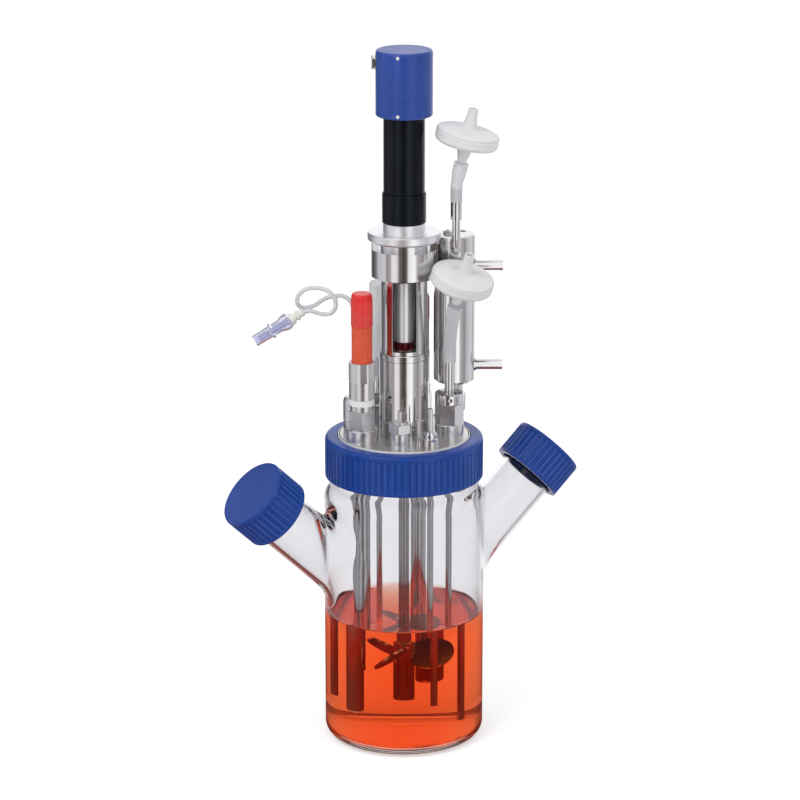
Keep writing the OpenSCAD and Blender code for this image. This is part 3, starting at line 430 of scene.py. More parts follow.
# edge: pale colour of the painted highlight on convex edges and rib tops; ridge: its share on rib tops
plastics = {
    "blue_plastic": {"dark": (0.005, 0.040, 0.25), "light": (0.008, 0.056, 0.31), "edge": (0.05, 0.13, 0.5),
                     "rough": (0.27, 0.36), "edgeHighlight": 0.6, "sheen": 0.3, "ridge": 0.4},
    "hood_blue": {"dark": (0.013, 0.048, 0.26), "light": (0.018, 0.062, 0.32), "edge": (0.1, 0.15, 0.5),
                  "rough": (0.28, 0.38), "sheen": 0.3},
    "white_seal": {"dark": (0.76, 0.75, 0.72), "light": (0.82, 0.81, 0.78), "rough": (0.4, 0.5)},
    "white_ptfe": {"dark": (0.82, 0.82, 0.81), "light": (0.88, 0.88, 0.87), "rough": (0.35, 0.45),
                   "glow": 0.15},
    "white_ring": {"dark": (0.78, 0.78, 0.77), "light": (0.85, 0.85, 0.84), "rough": (0.35, 0.45),
                   "glow": 0.1},
    "black_rubber": {"dark": (0.02, 0.02, 0.022), "light": (0.035, 0.035, 0.038), "rough": (0.6, 0.75)},
    "red_elastomer": {"dark": (0.10, 0.006, 0.010), "light": (0.16, 0.010, 0.016), "rough": (0.45, 0.6)},
    "orange_plastic": {"dark": (0.66, 0.082, 0.034), "light": (0.76, 0.112, 0.046), "rough": (0.32, 0.42),
                       "glow": 0.1},
    "red_plastic": {"dark": (0.62, 0.016, 0.015), "light": (0.74, 0.026, 0.024), "edge": (0.85, 0.25, 0.22),
                    "rough": (0.26, 0.36), "glow": 0.05},
    "dark_red_plastic": {"dark": (0.15, 0.005, 0.010), "light": (0.21, 0.008, 0.015), "rough": (0.3, 0.4)},
    "dark_plastic": {"dark": (0.03, 0.035, 0.042), "light": (0.045, 0.05, 0.058), "rough": (0.35, 0.45)},
    "silicone": {"dark": (0.76, 0.775, 0.80), "light": (0.84, 0.855, 0.875), "rough": (0.35, 0.5),
                 "clear": 0.45, "bump": 0.03, "ior": 1.41, "edgeHighlight": 0},
    "filter_white": {"dark": (0.72, 0.72, 0.725), "light": (0.79, 0.79, 0.795), "rough": (0.42, 0.55),
                     "glow": 0.3, "edgeHighlight": 0.1},
    "connector_white": {"dark": (0.70, 0.71, 0.66), "light": (0.80, 0.81, 0.76), "rough": (0.3, 0.4),
                        "glow": 0.2},
    "lavender_plastic": {"dark": (0.70, 0.70, 0.93), "light": (0.82, 0.82, 0.97), "rough": (0.08, 0.16),
                         "clear": 0.72, "ior": 1.4, "edgeHighlight": 0},
    "blue_insert": {"dark": (0.30, 0.46, 0.78), "light": (0.44, 0.58, 0.86), "rough": (0.3, 0.4),
                    "clear": 0.3},
    "screw_white": {"dark": (0.80, 0.80, 0.80), "light": (0.88, 0.88, 0.88), "rough": (0.3, 0.4)},
}


def heightMask(tree, low, high):
    # 0 under the low mark and 1 over the high one
    place = addNode(tree, "ShaderNodeTexCoord")
    split = addNode(tree, "ShaderNodeSeparateXYZ", [("Vector", place.outputs["Object"])])
    mask = addNode(tree, "ShaderNodeMapRange", [("Value", split.outputs["Z"])])
    mask.inputs["From Min"].default_value = low
    mask.inputs["From Max"].default_value = high
    return mask.outputs["Result"]


def glassMaterial():
    # clear borosilicate: quite clean where it holds liquid, with a painted grey shade above it for the dimmer
    # view through the glass there
    material, tree, shader = newMaterial("clearGlass", IOR=1.47, Roughness=0.0)
    shader.inputs["Transmission Weight"].default_value = 1
    shader.inputs["Specular Tint"].default_value = (0.45, 0.45, 0.45, 1)
    marks = placeGroup(tree, handlingMarks, Scale=26, Low=0.0, High=1.0)
    paintedGreyShade = mixColours(tree, marks.outputs["Mask"], (0.82, 0.822, 0.842), (0.86, 0.86, 0.875))
    # painted shade: a greyer base colour above the liquid line, varied by the handling marks
    blend = addNode(tree, "ShaderNodeMix", data_type="RGBA")
    blend.inputs[6].default_value = (0.975, 0.975, 0.975, 1)
    tree.links.new(paintedGreyShade, blend.inputs[7])
    tree.links.new(heightMask(tree, 88 * mm, 99 * mm), blend.inputs[0])
    tree.links.new(blend.outputs[2], shader.inputs["Base Color"])
    inside = addNode(tree, "ShaderNodeVolumeAbsorption", Density=8.0)
    inside.inputs["Color"].default_value = (0.70, 0.75, 0.77, 1)
    tree.links.new(inside.outputs["Volume"], tree.nodes["Material Output"].inputs["Volume"])
    return material


def mediumMaterial():
    # clear orange-red broth: its colour comes from the depth of liquid that light crosses; its top face gets
    # a paler tint, painted light that lightens the surface
    material, tree, shader = newMaterial("cultureMedium", IOR=1.34, Roughness=0.0)
    shader.inputs["Transmission Weight"].default_value = 1
    drift = placeGroup(tree, mouldedSkin, Shade=(0.99, 0.66, 0.54, 1), Light=(1.0, 0.71, 0.6, 1),
                       Drift=14, Grain=200)
    shader.inputs["Specular Tint"].default_value = (0.5, 0.5, 0.5, 1)
    # painted light: the top face gets a paler tint than the rest of the liquid
    top = heightMask(tree, 96.2 * mm, 96.4 * mm)
    blend = addNode(tree, "ShaderNodeMix", [(6, drift.outputs["Color"]), (0, top)], data_type="RGBA")
    blend.inputs[7].default_value = (1.0, 0.93, 0.95, 1)
    tree.links.new(blend.outputs[2], shader.inputs["Base Color"])
    inside = addNode(tree, "ShaderNodeVolumeAbsorption", Density=32.0)
    inside.inputs["Color"].default_value = (0.975, 0.44, 0.06, 1)
    tree.links.new(inside.outputs["Volume"], tree.nodes["Material Output"].inputs["Volume"])
    return material


finishes = {slot: metalMaterial(slot, v) for slot, v in metals.items()}
finishes.update({slot: plasticMaterial(slot, v) for slot, v in plastics.items()})
finishes["black_anodised"] = blackAnodised()
finishes["glass"] = glassMaterial()
finishes["medium"] = mediumMaterial()

slotOf = {part["node"]: part["material_slot"] for part in frame["record"]["subparts"]}
brushedNodes = ("probe_nut", "inlet_nut", "front_fitting", "condenser_fitting", "probe_collar",
                "probe_adapter", "inlet_adapter", "sample_fitting", "rear_fitting")
ownFinish = {node: "satin_steel" for node in brushedNodes} | {
    "coupling_hubs": "hub_painted_bright", "bearing_housing": "turned_steel", "coupling_sleeve": "turned_steel"}
for node, piece in cadNodes.items():
    piece.data.materials.clear()
    piece.data.materials.append(finishes[ownFinish.get(node, slotOf[node])])
print("materials:", len(finishes))


# sample line, its connector and valve

linePoints = np.array([
    (-26.2, 27.5, 261.6), (-26.2, 27.5, 277.6), (-26.2, 27.5, 293.6), (-26.3, 27.5, 307.6),
    (-26.9, 27.5, 315.2), (-27.3, 27.5, 322.8), (-29.2, 27.7, 330.1), (-34.9, 29.4, 334.6),
    (-42.2, 31.5, 334.8), (-47.9, 35.5, 332.1), (-53.8, 38.8, 327.5), (-61.6, 39.8, 326.6),
    (-66.8, 38.9, 330.4), (-68, 35.7, 337.2), (-63.8, 31.8, 342.6), (-56.5, 28.5, 343.5),
    (-50.2, 23.8, 341.8), (-46, 20.5, 335.9), (-45.2, 21.1, 329), (-47.6, 24.1, 324.4),
    (-52.3, 27.8, 323.5), (-61.5, 30.5, 326.4), (-67, 32.2, 325.1)]) * mm
valve = {"at": (-66.8, 32.1, 325.3), "tilt": 120, "heading": 160.5, "sides": 72,
         "lineRadius": 1.6, "lineSides": 20, "lineSteps": 6}


def addSampleLine(v):
    # connector, valve and insert: outlines turned about one leaning axis; the line: a tube on its path
    turn = Matrix.Rotation(math.radians(v["heading"]), 3, "Z")
    turn = turn @ Matrix.Rotation(math.radians(v["tilt"]), 3, "Y")
    at = np.array(v["at"]) * mm
    shapes = {
        "lineConnector": ([(0.3, 0.6, 0), (2.2, 0.6, 0), (2.2, -1.2, 0.2), (2.8, -1.2, 0.3), (2.8, 2.8, 0.3),
                           (4, 3.2, 0.4), (4, 4.4, 0.4), (3.1, 4.8, 0.3), (3.1, 6.6, 0.3), (4.6, 7, 0.5),
                           (4.6, 11.6, 0.4), (3.6, 12.2, 0.2), (0.3, 12.2, 0)],
                          "connector_white", "line_connector"),
        "accessValve": ([(4.7, 10, 0.1), (5.2, 9.6, 0.2), (6.2, 11.4, 0.5), (6.2, 14.6, 0.6),
                         (4.6, 18.6, 0.8),
                         (4.6, 24, 0.3), (5.7, 24.6, 0.3), (5.7, 26.2, 0.3), (4.5, 27, 0.3), (4.3, 40, 0.3),
                         (3.5, 40, 0.2), (3.5, 12.3, 0.1), (4.7, 12.3, 0.1)],
                        "lavender_plastic", "access_valve"),
        "valveStem": ([(0.2, 12.4, 0), (3.3, 12.4, 0.2), (3.3, 27.4, 0.4), (2.6, 28.4, 0.3),
                       (2.6, 36.4, 0.4), (0.2, 36.4, 0)], "blue_insert", "valve_stem")}
    for name, (corners, slot, node) in shapes.items():
        closed = name == "accessValve"
        line = softProfile(corners, 4, closed)
        if closed:
            line = line[::-1]
        body = turned(line, v["sides"])
        addPiece(name, placed(body, turn, at), gridFaces(*body.shape[:2], wrapRows=closed),
                               finishes[slot], "reactor", [node])
    path = smoothPath(linePoints, v["lineSteps"])
    skin = tubeAlong(path, v["lineRadius"] * mm, v["lineSides"], (0.469, 0.883, 0.02))
    line = addPiece("sampleLine", skin, gridFaces(*skin.shape[:2]), finishes["silicone"], "reactor",
                    ["sample_line"])


addSampleLine(valve)
print("sample line made")


# glass vessel

vessel = {"radius": 59, "wall": 3.4, "floor": 5, "heel": 9, "shoulder": 12, "shoulderTop": 197,
          "rim": 225, "neck": 50.4, "thread": 2.2, "armHeight": 87.5, "armTilt": 43.5, "armRadius": 20.8,
          "armLength": 167.4, "armBand": 22.2, "blend": 14, "lip": 0.9, "cell": 1.9}


def smoothMin(a, b, k):
    # the smaller of two fields, rounded off where they are within k of each other
    h = np.maximum(k - np.abs(a - b), 0) / k
    return np.minimum(a, b) - h * h * k / 4


def smoothMax(a, b, k):
    # the larger of two fields, rounded off in the same way
    return -smoothMin(-a, -b, k)


def drumField(r, z, radius, low, high, edge):
    # distance to a drum about Z whose edges are rounded
    u, w = r - radius + edge, np.abs(z - (low + high) / 2) - (high - low) / 2 + edge
    return np.hypot(np.maximum(u, 0), np.maximum(w, 0)) + np.minimum(np.maximum(u, w), 0) - edge


def armCoordinates(p, v, side):
    # distance from an arm's axis and place along it
    t = math.radians(v["armTilt"])
    x, z = p[..., 0] * side, p[..., 2] - v["armHeight"]
    along = x * math.cos(t) + z * math.sin(t)
    across = x * math.sin(t) - z * math.cos(t)
    return np.hypot(across, p[..., 1]), along


def vesselField(p, v):
    # body, neck and both arms joined by rounded minima, less the same shape moved in by the wall
    r, z = np.hypot(p[..., 0], p[..., 1]), p[..., 2]
    edge = np.where(z > 100, v["shoulder"], v["heel"])
    outer = drumField(r, z, v["radius"], 0, v["shoulderTop"], edge)
    outer = smoothMin(outer, drumField(r, z, v["neck"], 150, v["rim"], v["lip"]), 5)
    band = drumField(r, z, v["neck"] + v["thread"], v["rim"] - 17.6, v["rim"] - 3.2, 1)
    outer = smoothMin(outer, band, 1.5)
    edge = np.where(z > 100, v["shoulder"] - v["wall"], v["heel"] - v["wall"] + 1)
    inner = drumField(r, z, v["radius"] - v["wall"], v["floor"], v["shoulderTop"] - v["wall"], edge)
    inner = smoothMin(inner, drumField(r, z, v["neck"] - v["wall"], 150, v["rim"] + 30, 1), 5)
    for side in (-1, 1):
        q, t = armCoordinates(p, v, side)
        arm = drumField(q, t, v["armRadius"], 30, v["armLength"], v["lip"])
        arm = smoothMin(arm, drumField(q, t, v["armBand"], v["armLength"] - 16, v["armLength"] - 3, 1), 1.5)
        outer = smoothMin(outer, arm, v["blend"])
        bore = drumField(q, t, v["armRadius"] - v["wall"], 40, v["armLength"] + 30, 1)
        inner = smoothMin(inner, bore, v["blend"])
    return smoothMax(outer, -inner, v["lip"])


def fieldSkin(field, low, high, cell):
    # surface nets: a point for each cell that the zero level crosses, slid onto the level along the slope
    axes = [np.arange(a, b, cell) for a, b in zip(low, high)]
    inside = field(np.stack(np.meshgrid(*axes, indexing="ij"), -1)) < 0
    full = [n - 1 for n in inside.shape]
    corner = [inside[i:i + full[0], j:j + full[1], k:k + full[2]]
              for i in (0, 1) for j in (0, 1) for k in (0, 1)]
    count = np.sum(corner, axis=0)
    crossed = (count > 0) & (count < 8)
    index = np.full(crossed.shape, -1)
    index[crossed] = np.arange(crossed.sum())
    points = np.stack(np.nonzero(crossed), -1) * cell + np.array(low) + cell / 2
    for _ in range(4):
        slope = fieldSlope(field, points)
        points = points - field(points)[:, None] * slope / np.maximum((slope ** 2).sum(1), 0.2)[:, None]
    quads = []
    for axis in range(3):
        b, c = [(1, 2), (2, 0), (0, 1)][axis]
        first = np.take(inside, range(full[axis]), axis)
        second = np.take(inside, range(1, full[axis] + 1), axis)
        edge = np.stack(np.nonzero(first != second), -1)
        edge = edge[(edge[:, b] > 0) & (edge[:, c] > 0) & (edge[:, b] < full[b]) & (edge[:, c] < full[c])]
        stepB, stepC = np.eye(3, dtype=int)[b], np.eye(3, dtype=int)[c]
        ring = np.stack([index[tuple((edge - o).T)] for o in (stepB + stepC, stepC, 0 * stepB, stepB)], -1)
        flip = first[tuple(edge.T)]
        ring[~flip] = ring[~flip][:, ::-1]
        quads.append(ring)
    return points, np.vstack(quads)


def fieldSlope(field, points, h=0.05):
    # central differences of the field
    steps = np.eye(3) * h
    return np.stack([field(points + s) - field(points - s) for s in steps], -1) / (2 * h)


def addVessel(v):
    # one skin of blown glass, with its normals from the slope of the field
    field = lambda p: vesselField(p, v)
    reach = v["armLength"] * math.cos(math.radians(v["armTilt"])) + v["armBand"]
    side = v["radius"] + 4
    points, quads = fieldSkin(field, (-reach, -side, -3), (reach, side, v["rim"] + 4), v["cell"])
    normals = unitRows(fieldSlope(field, points))
    addPiece("vesselGlass", points * mm, quads.tolist(), finishes["glass"], "reactor",
             ["glass_vessel", "side_arms"], normals=normals)
    print("vessel faces:", len(quads))


addVessel(vessel)


# culture medium

medium = {"level": 96.5, "rise": 1.7, "reach": 1.5, "into": 0.06, "sides": 288}


def addMedium(m, v):
    # the liquid fills the glass and climbs its wall a little: z = level + rise * exp(-(wall - r) / reach)
    wall = v["radius"] - v["wall"] + m["into"]
    heel = v["heel"] - v["wall"] + 1
    a = np.linspace(-np.pi / 2, 0, 14)
    floor = v["floor"] - m["into"]
    heelArc = np.stack([wall - heel + heel * np.cos(a), floor + heel + heel * np.sin(a)], 1)
    r = wall - np.r_[0, np.geomspace(0.1, wall - 0.4, 26)]
    top = np.stack([r, m["level"] + m["rise"] * np.exp(-(wall - r) / m["reach"])], 1)
    line = np.vstack([[(0.4, floor)], heelArc, top]) * mm
    skin = turned(denseProfile(line, 6 * mm), m["sides"])
    addPiece("cultureLiquid", skin, gridFaces(*skin.shape[:2]), finishes["medium"], "reactor",
             ["culture_medium"], sharp=60)


addMedium(medium, vessel)
print("culture medium made")


# ribbed caps and clamp ring

cap = {"radius": 27.05, "height": 27.85, "ribs": 36, "depth": 0.85, "columns": 12, "bore": 22.25,
       "top": 2.85, "liner": 1.64}
ring = {"radius": 58.2, "low": 201.9, "top": 232.3, "ribs": 74, "depth": 0.85, "columns": 9,
        "bore": 52.65, "lip": 229.94, "mouth": 48.9}


def ribbedSkin(line, radius, count, columns, depth, low, high, share):
    # the outline turned about Z, pushed in by depth in each groove of its outer band, fading at both ends
    skin = turned(line, count * columns)
    a = np.arctan2(skin[..., 1], skin[..., 0])
    r, z = np.hypot(skin[..., 0], skin[..., 1]), skin[..., 2]
    fade = np.clip((z - low) / (1.1 * mm), 0, 1) * np.clip((high - z) / (1.6 * mm), 0, 1)
    outer = r > (radius - 1.2) * mm
    wave = ribWave(a, count, share)
    push = depth * mm * (1 - wave) * fade * outer
    scale = (r - push) / r
    return np.stack([skin[..., 0] * scale, skin[..., 1] * scale, z], -1), wave * fade * outer


def addCap(side, c, v):
    # a ribbed cup, turned onto its arm's axis with its liner's room between its top and the arm's mouth
    ceiling = c["height"] - c["top"]
    corners = [(0.3, ceiling, 0), (c["bore"], ceiling, 0.4), (c["bore"], 0, 0.3),
               (c["radius"], 0, 0.5), (c["radius"], c["height"], 2.3), (0.3, c["height"], 0)]
    line = denseProfile(softProfile(corners, 8), 0.9 * mm)
    skin, ridge = ribbedSkin(line, c["radius"], c["ribs"], c["columns"], c["depth"], 1.6 * mm,
                             (c["height"] - 2.8) * mm, 0.36)
    lean = math.radians(v["armTilt"])
    tilt = math.radians(side * (90 - v["armTilt"]))
    start = v["armLength"] + c["liner"] + c["top"] - c["height"]
    axis = np.array((side * math.cos(lean), 0, math.sin(lean)))
    at = (np.array((0, 0, v["armHeight"])) + axis * start) * mm
    name, node = ("leftCap", "left_cap") if side < 0 else ("rightCap", "right_cap")
    addPiece(name, placed(skin, Matrix.Rotation(tilt, 3, "Y"), at), gridFaces(*skin.shape[:2]),
             finishes["blue_plastic"], node.split("_")[0] + "_screw_cap", [node], ridge=ridge)


def addRing(c):
    # a ribbed band with a lip turned in over the plate, as one closed outline
    corners = [(c["bore"], c["low"], 0.3), (c["radius"], c["low"], 0.8), (c["radius"], c["top"], 3.6),
               (c["mouth"], c["top"], 0.6), (c["mouth"], c["lip"], 0.3), (c["bore"], c["lip"], 0.5)]
    line = softProfile(corners, 9, closed=True)
    line = denseProfile(np.vstack([line, line[:1]]), 1.0 * mm)[:-1]
    skin, ridge = ribbedSkin(line, c["radius"], c["ribs"], c["columns"], c["depth"], (c["low"] + 1.3) * mm,
                             (c["top"] - 3.9) * mm, 0.6)
    addPiece("clampRing", skin, gridFaces(*skin.shape[:2], wrapRows=True), finishes["blue_plastic"], "ring",
             ["clamp_ring"], ridge=ridge * 0.45)


for side in (-1, 1):
    addCap(side, cap, vessel)
addRing(ring)
print("caps and ring made")


# gas filters and sleeves

gasFilter = {"radius": 23, "sides": 128, "spokes": 20, "spokeRise": 0.12}


def filterSkin(f):
    # stepped noses on a lens-shaped case: the outline is turned, and fine spokes rise on both faces
    r = f["radius"]
    corners = [(0.2, 0, 0), (3.2, 0, 0.4), (3.6, 3, 0.6), (5.2, 9, 1.4), (5.8, 12.6, 1.2),
               (r - 3, 14.2, 1.6), (r - 0.6, 15.4, 1.1), (r, 16.8, 0.8), (r, 19.3, 0.3),
               (r - 0.35, 19.8, 0.2), (r, 20.3, 0.3), (r, 22.8, 0.9), (r - 0.8, 23.9, 1.0),
               (r - 4, 25, 2.2), (5.8, 26.4, 1.4), (4.8, 30, 1.4), (3.7, 37, 1.2), (3.6, 41, 0.5),
               (2.4, 41, 0.3), (2.4, 34, 0.2), (0.2, 34, 0)]
    line = denseProfile(softProfile(corners, 6), 1.2 * mm)
    skin = turned(line, f["sides"])
    a = np.arctan2(skin[..., 1], skin[..., 0])
    q = np.hypot(skin[..., 0], skin[..., 1]) / mm
    face = np.clip((q - 8) / 3, 0, 1) * np.clip((r - 3.5 - q) / 2, 0, 1)
    way = np.where(skin[..., 2] > 19.8 * mm, 1, -1)
    rise = f["spokeRise"] * mm * face * ribWave(a, f["spokes"], 0.3) * way
    return np.stack([skin[..., 0], skin[..., 1], skin[..., 2] + rise], -1)


def addFilters(f):
    # the same filter twice, each leaning its own way on the end of its sleeve
    skin = filterSkin(f)
    faces = gridFaces(*skin.shape[:2])
    addPiece("inletFilter", placed(skin, leaning(20, -73), inletPlace()), faces,
             finishes["filter_white"], "reactor", ["inlet_filter"])
    addPiece("exhaustFilter", placed(skin, leaning(12.6, -46), exhaustPlace(17)), faces,
             finishes["filter_white"], "reactor", ["exhaust_filter"])


port = {"inletAngle": -36.6, "inletAt": 33.4, "inletUp": 290, "condenserAngle": -3.3, "condenserAt": 40.6,
        "exhaustAngle": -116.3, "exhaustOut": 19.8, "exhaustUp": 409}


def polar(angle, radius):
    # a point of the plate at an angle and a radius from the middle
    a = math.radians(angle)
    return np.array((radius * math.cos(a), radius * math.sin(a), 0))


def inletRoute():
    # the sleeve on the gas inlet leaves it straight and leans outwards
    x, y, _ = polar(port["inletAngle"], port["inletAt"])
    up = port["inletUp"]
    return np.array([(x, y, up - 1), (x, y, up + 8), (x - 0.3, y - 1.4, up + 17), (x - 1, y - 5, up + 28),
                     (x - 1.6, y - 9, up + 37.5), (x - 1.9, y - 12, up + 44)])


def inletPlace():
    # where the filter's nose stands in the end of the inlet's sleeve
    return (inletRoute()[-1] + (0, 0, 2)) * mm


def exhaustFoot():
    # the foot of the exhaust: the condenser's place and the way out from its middle
    return (polar(port["condenserAngle"], port["condenserAt"])
            + polar(port["exhaustAngle"], port["exhaustOut"]))


def exhaustPlace(along):
    # a point on the leaning top of the exhaust, along from its bend
    axis = leaning(12.6, -46) @ np.array((0, 0, 1.0))
    return (exhaustFoot() + (0, 0, port["exhaustUp"] + 11) + axis * along) * mm


def addSleeves():
    # soft sleeves: a tube that swells a little over each end that is pushed into it
    route = smoothPath(inletRoute(), 8) * mm
    along = np.linspace(0, 1, len(route))
    swell = 4.7 + 0.25 * np.exp(-((along - 0.16) / 0.08) ** 2) + 0.7 * np.clip((along - 0.7) / 0.2, 0, 1)
    skin = tubeAlong(route, swell * mm, 48, (0.9, 0.4, 0))
    addPiece("inletSleeve", skin, gridFaces(*skin.shape[:2]), finishes["silicone"], "reactor",
             ["inlet_sleeve"])
    low = (exhaustFoot() + (0, 0, port["exhaustUp"] - 1)) * mm
    bend = np.array([low, low + (0, 0, 7 * mm), exhaustPlace(2), exhaustPlace(9), exhaustPlace(17)])
    path = smoothPath(bend, 8)
    swell = 4.3 + 0.9 * np.clip((np.linspace(0, 1, len(path)) - 0.55) / 0.2, 0, 1)
    skin = tubeAlong(path, swell * mm, 48, (0.9, 0.4, 0))
    addPiece("exhaustSleeve", skin, gridFaces(*skin.shape[:2]), finishes["silicone"], "reactor",
             ["exhaust_sleeve"])


addFilters(gasFilter)
addSleeves()
print("filters and sleeves made")


# studio

studio = {"floor": 14, "drop": 0.2, "wallRadius": 0.19, "wallHeight": 0.9, "wallSides": 96, "lift": 0.45,
          "worldFill": 0.64, "wallGain": 1.4, "floorSeen": 0.86, "floorMirrored": 0.04, "floorGlow": 0.2,
          "footEdge": (50, 56), "footStrength": 0.9, "footGlow": (1.0, 0.88, 0.84),
          "warmth": (1.0, 0.2, 0.14), "footWall": (0.30, 0.05, 0.035), "footRise": (25, 60),
          "lowWall": 0.24, "lowBack": 0.85, "backTurn": (0.5, 0.9), "middleShare": 0.45,
          "middleRise": (45, 60), "wallChange": (145, 180)}
lamps = {"keyLamp": {"turn": -42, "elevation": 50, "distance": 1.6, "size": 0.9, "power": 9},
         "fillLamp": {"turn": 55, "elevation": 35, "distance": 1.8, "size": 1.1, "power": 5}}
wallBands = [  # azimuth from the camera's side in degrees, colour that polished metal sees there
    (-180, (0.85, 0.84, 0.86)), (-152, (0.75, 0.74, 0.77)), (-145, (0.10, 0.10, 0.11)),
    (-124, (0.08, 0.08, 0.08)), (-108, (0.20, 0.20, 0.22)), (-96, (0.52, 0.51, 0.54)),
    (-70, (0.58, 0.57, 0.60)), (-60, (0.28, 0.26, 0.25)), (-48, (0.33, 0.32, 0.33)),
    (-38, (0.80, 0.79, 0.81)), (-24, (0.74, 0.72, 0.74)), (-15, (0.15, 0.13, 0.12)),
    (0, (0.055, 0.048, 0.045)), (8, (0.13, 0.10, 0.08)), (16, (0.85, 0.84, 0.85)),
    (34, (0.98, 0.98, 1.0)), (46, (0.42, 0.40, 0.41)), (66, (0.28, 0.27, 0.28)),
    (80, (0.50, 0.49, 0.51)), (104, (0.62, 0.61, 0.64)), (118, (0.40, 0.39, 0.41)),
    (134, (0.75, 0.75, 0.76)), (160, (0.80, 0.80, 0.82)), (179, (0.85, 0.84, 0.86))]


def lightPathSum(tree):
    # 1 for camera, glossy and transmission rays, which see the plain white background
    path = addNode(tree, "ShaderNodeLightPath")
    first = addNode(tree, "ShaderNodeMath",
                    [(0, path.outputs["Is Camera Ray"]), (1, path.outputs["Is Glossy Ray"])],
                    operation="MAXIMUM")
    both = addNode(tree, "ShaderNodeMath", [(0, first.outputs[0]), (1, path.outputs["Is Transmission Ray"])],
                   operation="MAXIMUM")
    return both.outputs[0]


def afterReflection(tree):
    # 1 for a ray that has been mirrored at least once
    path = addNode(tree, "ShaderNodeLightPath")
    bounced = addNode(tree, "ShaderNodeMath", [(0, path.outputs["Glossy Depth"])], operation="GREATER_THAN")
    bounced.inputs[1].default_value = 0.5
    return bounced.outputs[0]


def addStageGrid(name, points, faces, material):
    # a mesh of the stage, which isn't part of the object
    mesh = bpy.data.meshes.new(name)
    mesh.from_pydata(points, [], faces)
    mesh.materials.append(material)
    piece = bpy.data.objects.new(name, mesh)
    bpy.context.scene.collection.objects.link(piece)
    return piece


def addFloor(s):
    # a pale floor: lit softly for the camera, dark and warm in reflections, glowing under the vessel's foot
    material, tree, shader = newMaterial("paleFloor", Roughness=0.9)
    shader.inputs["Specular IOR Level"].default_value = 0.1
    mirrored = afterReflection(tree)
    shade = addNode(tree, "ShaderNodeMapRange", [("Value", mirrored)])
    shade.inputs["To Min"].default_value = s["floorSeen"]
    shade.inputs["To Max"].default_value = s["floorMirrored"]
    tree.links.new(shade.outputs["Result"], shader.inputs["Base Color"])
    level = addNode(tree, "ShaderNodeMapRange", [("Value", mirrored)])
    level.inputs["To Min"].default_value = s["lift"]
    level.inputs["To Max"].default_value = s["floorGlow"]
    place = addNode(tree, "ShaderNodeTexCoord")
    flat = addNode(tree, "ShaderNodeVectorMath", [(0, place.outputs["Object"])], operation="LENGTH")
    foot = addNode(tree, "ShaderNodeMapRange", [("Value", flat.outputs["Value"])])
    foot.inputs["From Min"].default_value = s["footEdge"][0] * mm
    foot.inputs["From Max"].default_value = s["footEdge"][1] * mm
    around = mixColours(tree, mirrored, (1.0, 1.0, 1.0), s["warmth"])
    blend = addNode(tree, "ShaderNodeMix", [(0, foot.outputs["Result"]), (7, around)], data_type="RGBA")
    blend.inputs[6].default_value = (*s["footGlow"], 1)
    tree.links.new(blend.outputs[2], shader.inputs["Emission Color"])
    under = addNode(tree, "ShaderNodeMapRange", [("Value", foot.outputs["Result"])])
    under.inputs["To Min"].default_value = s["footStrength"]
    under.inputs["To Max"].default_value = 0
    most = addNode(tree, "ShaderNodeMath", [(0, level.outputs["Result"]), (1, under.outputs["Result"])],
                   operation="MAXIMUM")
    glow = addNode(tree, "ShaderNodeMath", [(0, lightPathSum(tree)), (1, most.outputs[0])],
                   operation="MULTIPLY")
    tree.links.new(glow.outputs[0], shader.inputs["Emission Strength"])
    h = s["floor"]
    z = cadBox[0][2] - s["drop"] * mm
    addStageGrid("floor", [(-h, -h, z), (h, -h, z), (h, h, z), (-h, h, z)], [(0, 1, 2, 3)], material)


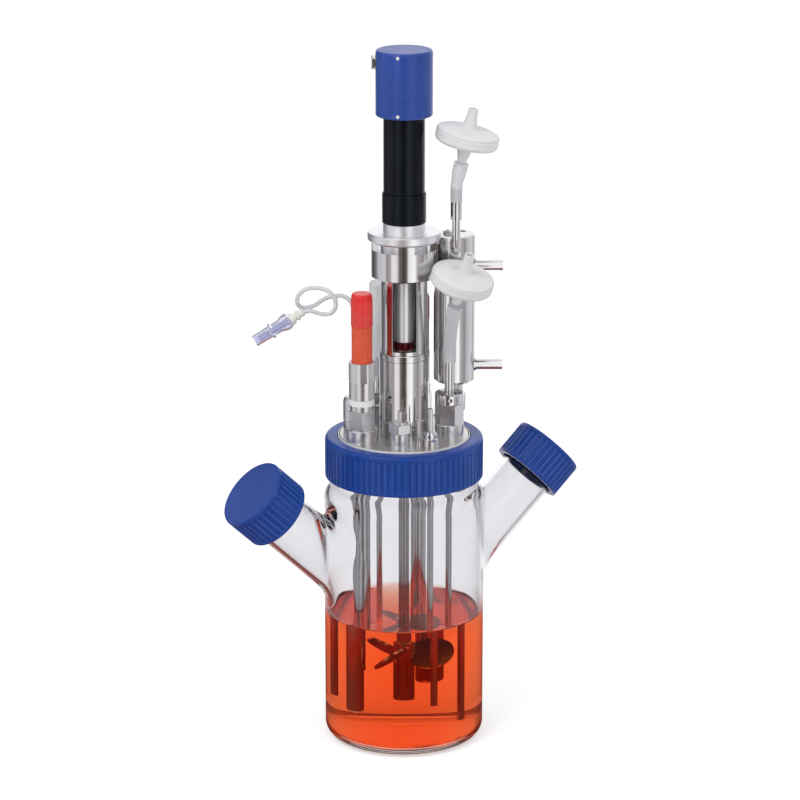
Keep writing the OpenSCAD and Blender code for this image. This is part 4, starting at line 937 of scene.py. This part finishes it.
def addReflectedWall(s):
    # a tent wall that only reflections see, also through glass, in greys that give polished metal its stripes
    material = bpy.data.materials.new("tentWall")
    material.use_nodes = True
    tree = material.node_tree
    tree.nodes.clear()
    place = addNode(tree, "ShaderNodeTexCoord")
    split = addNode(tree, "ShaderNodeSeparateXYZ", [("Vector", place.outputs["Object"])])
    angle = addNode(tree, "ShaderNodeMath", [(0, split.outputs["Y"]), (1, split.outputs["X"])],
                    operation="ARCTAN2")
    share = addNode(tree, "ShaderNodeMath", [(0, angle.outputs[0])], operation="MULTIPLY_ADD")
    share.inputs[1].default_value = 1 / (2 * math.pi)
    share.inputs[2].default_value = 0.5
    ramp = addNode(tree, "ShaderNodeValToRGB", [("Fac", share.outputs[0])])
    turn = math.radians(view["azimuth"])
    facing = math.degrees(math.atan2(-math.cos(turn), math.sin(turn)))
    stops = sorted((((azimuth + facing + 180) % 360) / 360, colour) for azimuth, colour in wallBands)
    ramp.color_ramp.interpolation = "EASE"
    while len(ramp.color_ramp.elements) < len(stops):
        ramp.color_ramp.elements.new(0.5)
    for element, (position, colour) in zip(ramp.color_ramp.elements, stops):
        element.position = position
        element.color = (*colour, 1)
    away = addNode(tree, "ShaderNodeVectorMath", [(0, place.outputs["Object"])], operation="DOT_PRODUCT")
    back = backVector({"azimuth": view["azimuth"], "elevation": 0})
    away.inputs[1].default_value = (-back.x / s["wallRadius"], -back.y / s["wallRadius"], 0)
    lowGrey = addNode(tree, "ShaderNodeMapRange", [("Value", away.outputs["Value"])])
    lowGrey.inputs["From Min"].default_value = s["backTurn"][0]
    lowGrey.inputs["From Max"].default_value = s["backTurn"][1]
    lowGrey.inputs["To Min"].default_value = s["lowWall"]
    lowGrey.inputs["To Max"].default_value = s["lowBack"]
    high = heightMask(tree, s["wallChange"][0] * mm, s["wallChange"][1] * mm)
    middle = heightMask(tree, s["middleRise"][0] * mm, s["middleRise"][1] * mm)
    above = addNode(tree, "ShaderNodeMath", [(0, middle), (2, high)], operation="MULTIPLY_ADD",
                    use_clamp=True)
    above.inputs[1].default_value = s["middleShare"]
    low = heightMask(tree, s["footRise"][0] * mm, s["footRise"][1] * mm)
    rising = addNode(tree, "ShaderNodeMix", [(0, low), (7, lowGrey.outputs["Result"])], data_type="RGBA")
    rising.inputs[6].default_value = (*s["footWall"], 1)
    wallColour = addNode(tree, "ShaderNodeMix",
                         [(0, above.outputs[0]), (6, rising.outputs[2]), (7, ramp.outputs["Color"])],
                         data_type="RGBA")
    light = addNode(tree, "ShaderNodeEmission", [("Color", wallColour.outputs[2])], Strength=s["wallGain"])
    clear = addNode(tree, "ShaderNodeBsdfTransparent")
    both = addNode(tree, "ShaderNodeMixShader",
                   [(0, afterReflection(tree)), (1, clear.outputs[0]), (2, light.outputs[0])])
    addNode(tree, "ShaderNodeOutputMaterial", [("Surface", both.outputs[0])])
    material.cycles.emission_sampling = "NONE"
    a = np.linspace(0, 2 * np.pi, s["wallSides"], endpoint=False)
    rows = [np.stack([s["wallRadius"] * np.cos(a), s["wallRadius"] * np.sin(a), z + 0 * a], 1)
            for z in (cadBox[0][2] - s["drop"] * mm, s["wallHeight"])]
    faces = gridFaces(2, s["wallSides"], caps=False)
    wall = addStageGrid("tentWall", np.vstack(rows).tolist(), faces, material)
    wall.visible_camera = wall.visible_diffuse = wall.visible_shadow = wall.visible_volume_scatter = False


def addWorld(s):
    # plain white where it is seen, and weaker as light on matt surfaces
    world = bpy.data.worlds.new("studio")
    bpy.context.scene.world = world
    world.use_nodes = True
    tree = world.node_tree
    seen = lightPathSum(tree)
    strength = addNode(tree, "ShaderNodeMapRange", [("Value", seen)])
    strength.inputs["To Min"].default_value = s["worldFill"]
    strength.inputs["To Max"].default_value = 1
    tree.nodes["Background"].inputs["Color"].default_value = (1, 1, 1, 1)
    tree.links.new(strength.outputs["Result"], tree.nodes["Background"].inputs["Strength"])


def addLamp(name, v):
    # a soft square lamp that faces the middle of the object, turned round it from the camera's side
    data = bpy.data.lights.new(name, "AREA")
    data.size = v["size"]
    data.energy = v["power"]
    lamp = bpy.data.objects.new(name, data)
    back = backVector({"azimuth": view["azimuth"] + v["turn"], "elevation": v["elevation"]})
    lamp.location = Vector((0, 0, 0.25)) + back * v["distance"]
    lamp.rotation_euler = back.to_track_quat("Z", "Y").to_euler()
    bpy.context.scene.collection.objects.link(lamp)
    lamp.visible_camera = lamp.visible_transmission = False


addFloor(studio)
addReflectedWall(studio)
addWorld(studio)
for name, values in lamps.items():
    addLamp(name, values)
bpy.context.scene.view_settings.view_transform = "Standard"
cycles = bpy.context.scene.cycles  # light crosses many layers of glass and broth
cycles.max_bounces = cycles.transmission_bounces = 32
cycles.glossy_bounces = 16
print("studio ready")
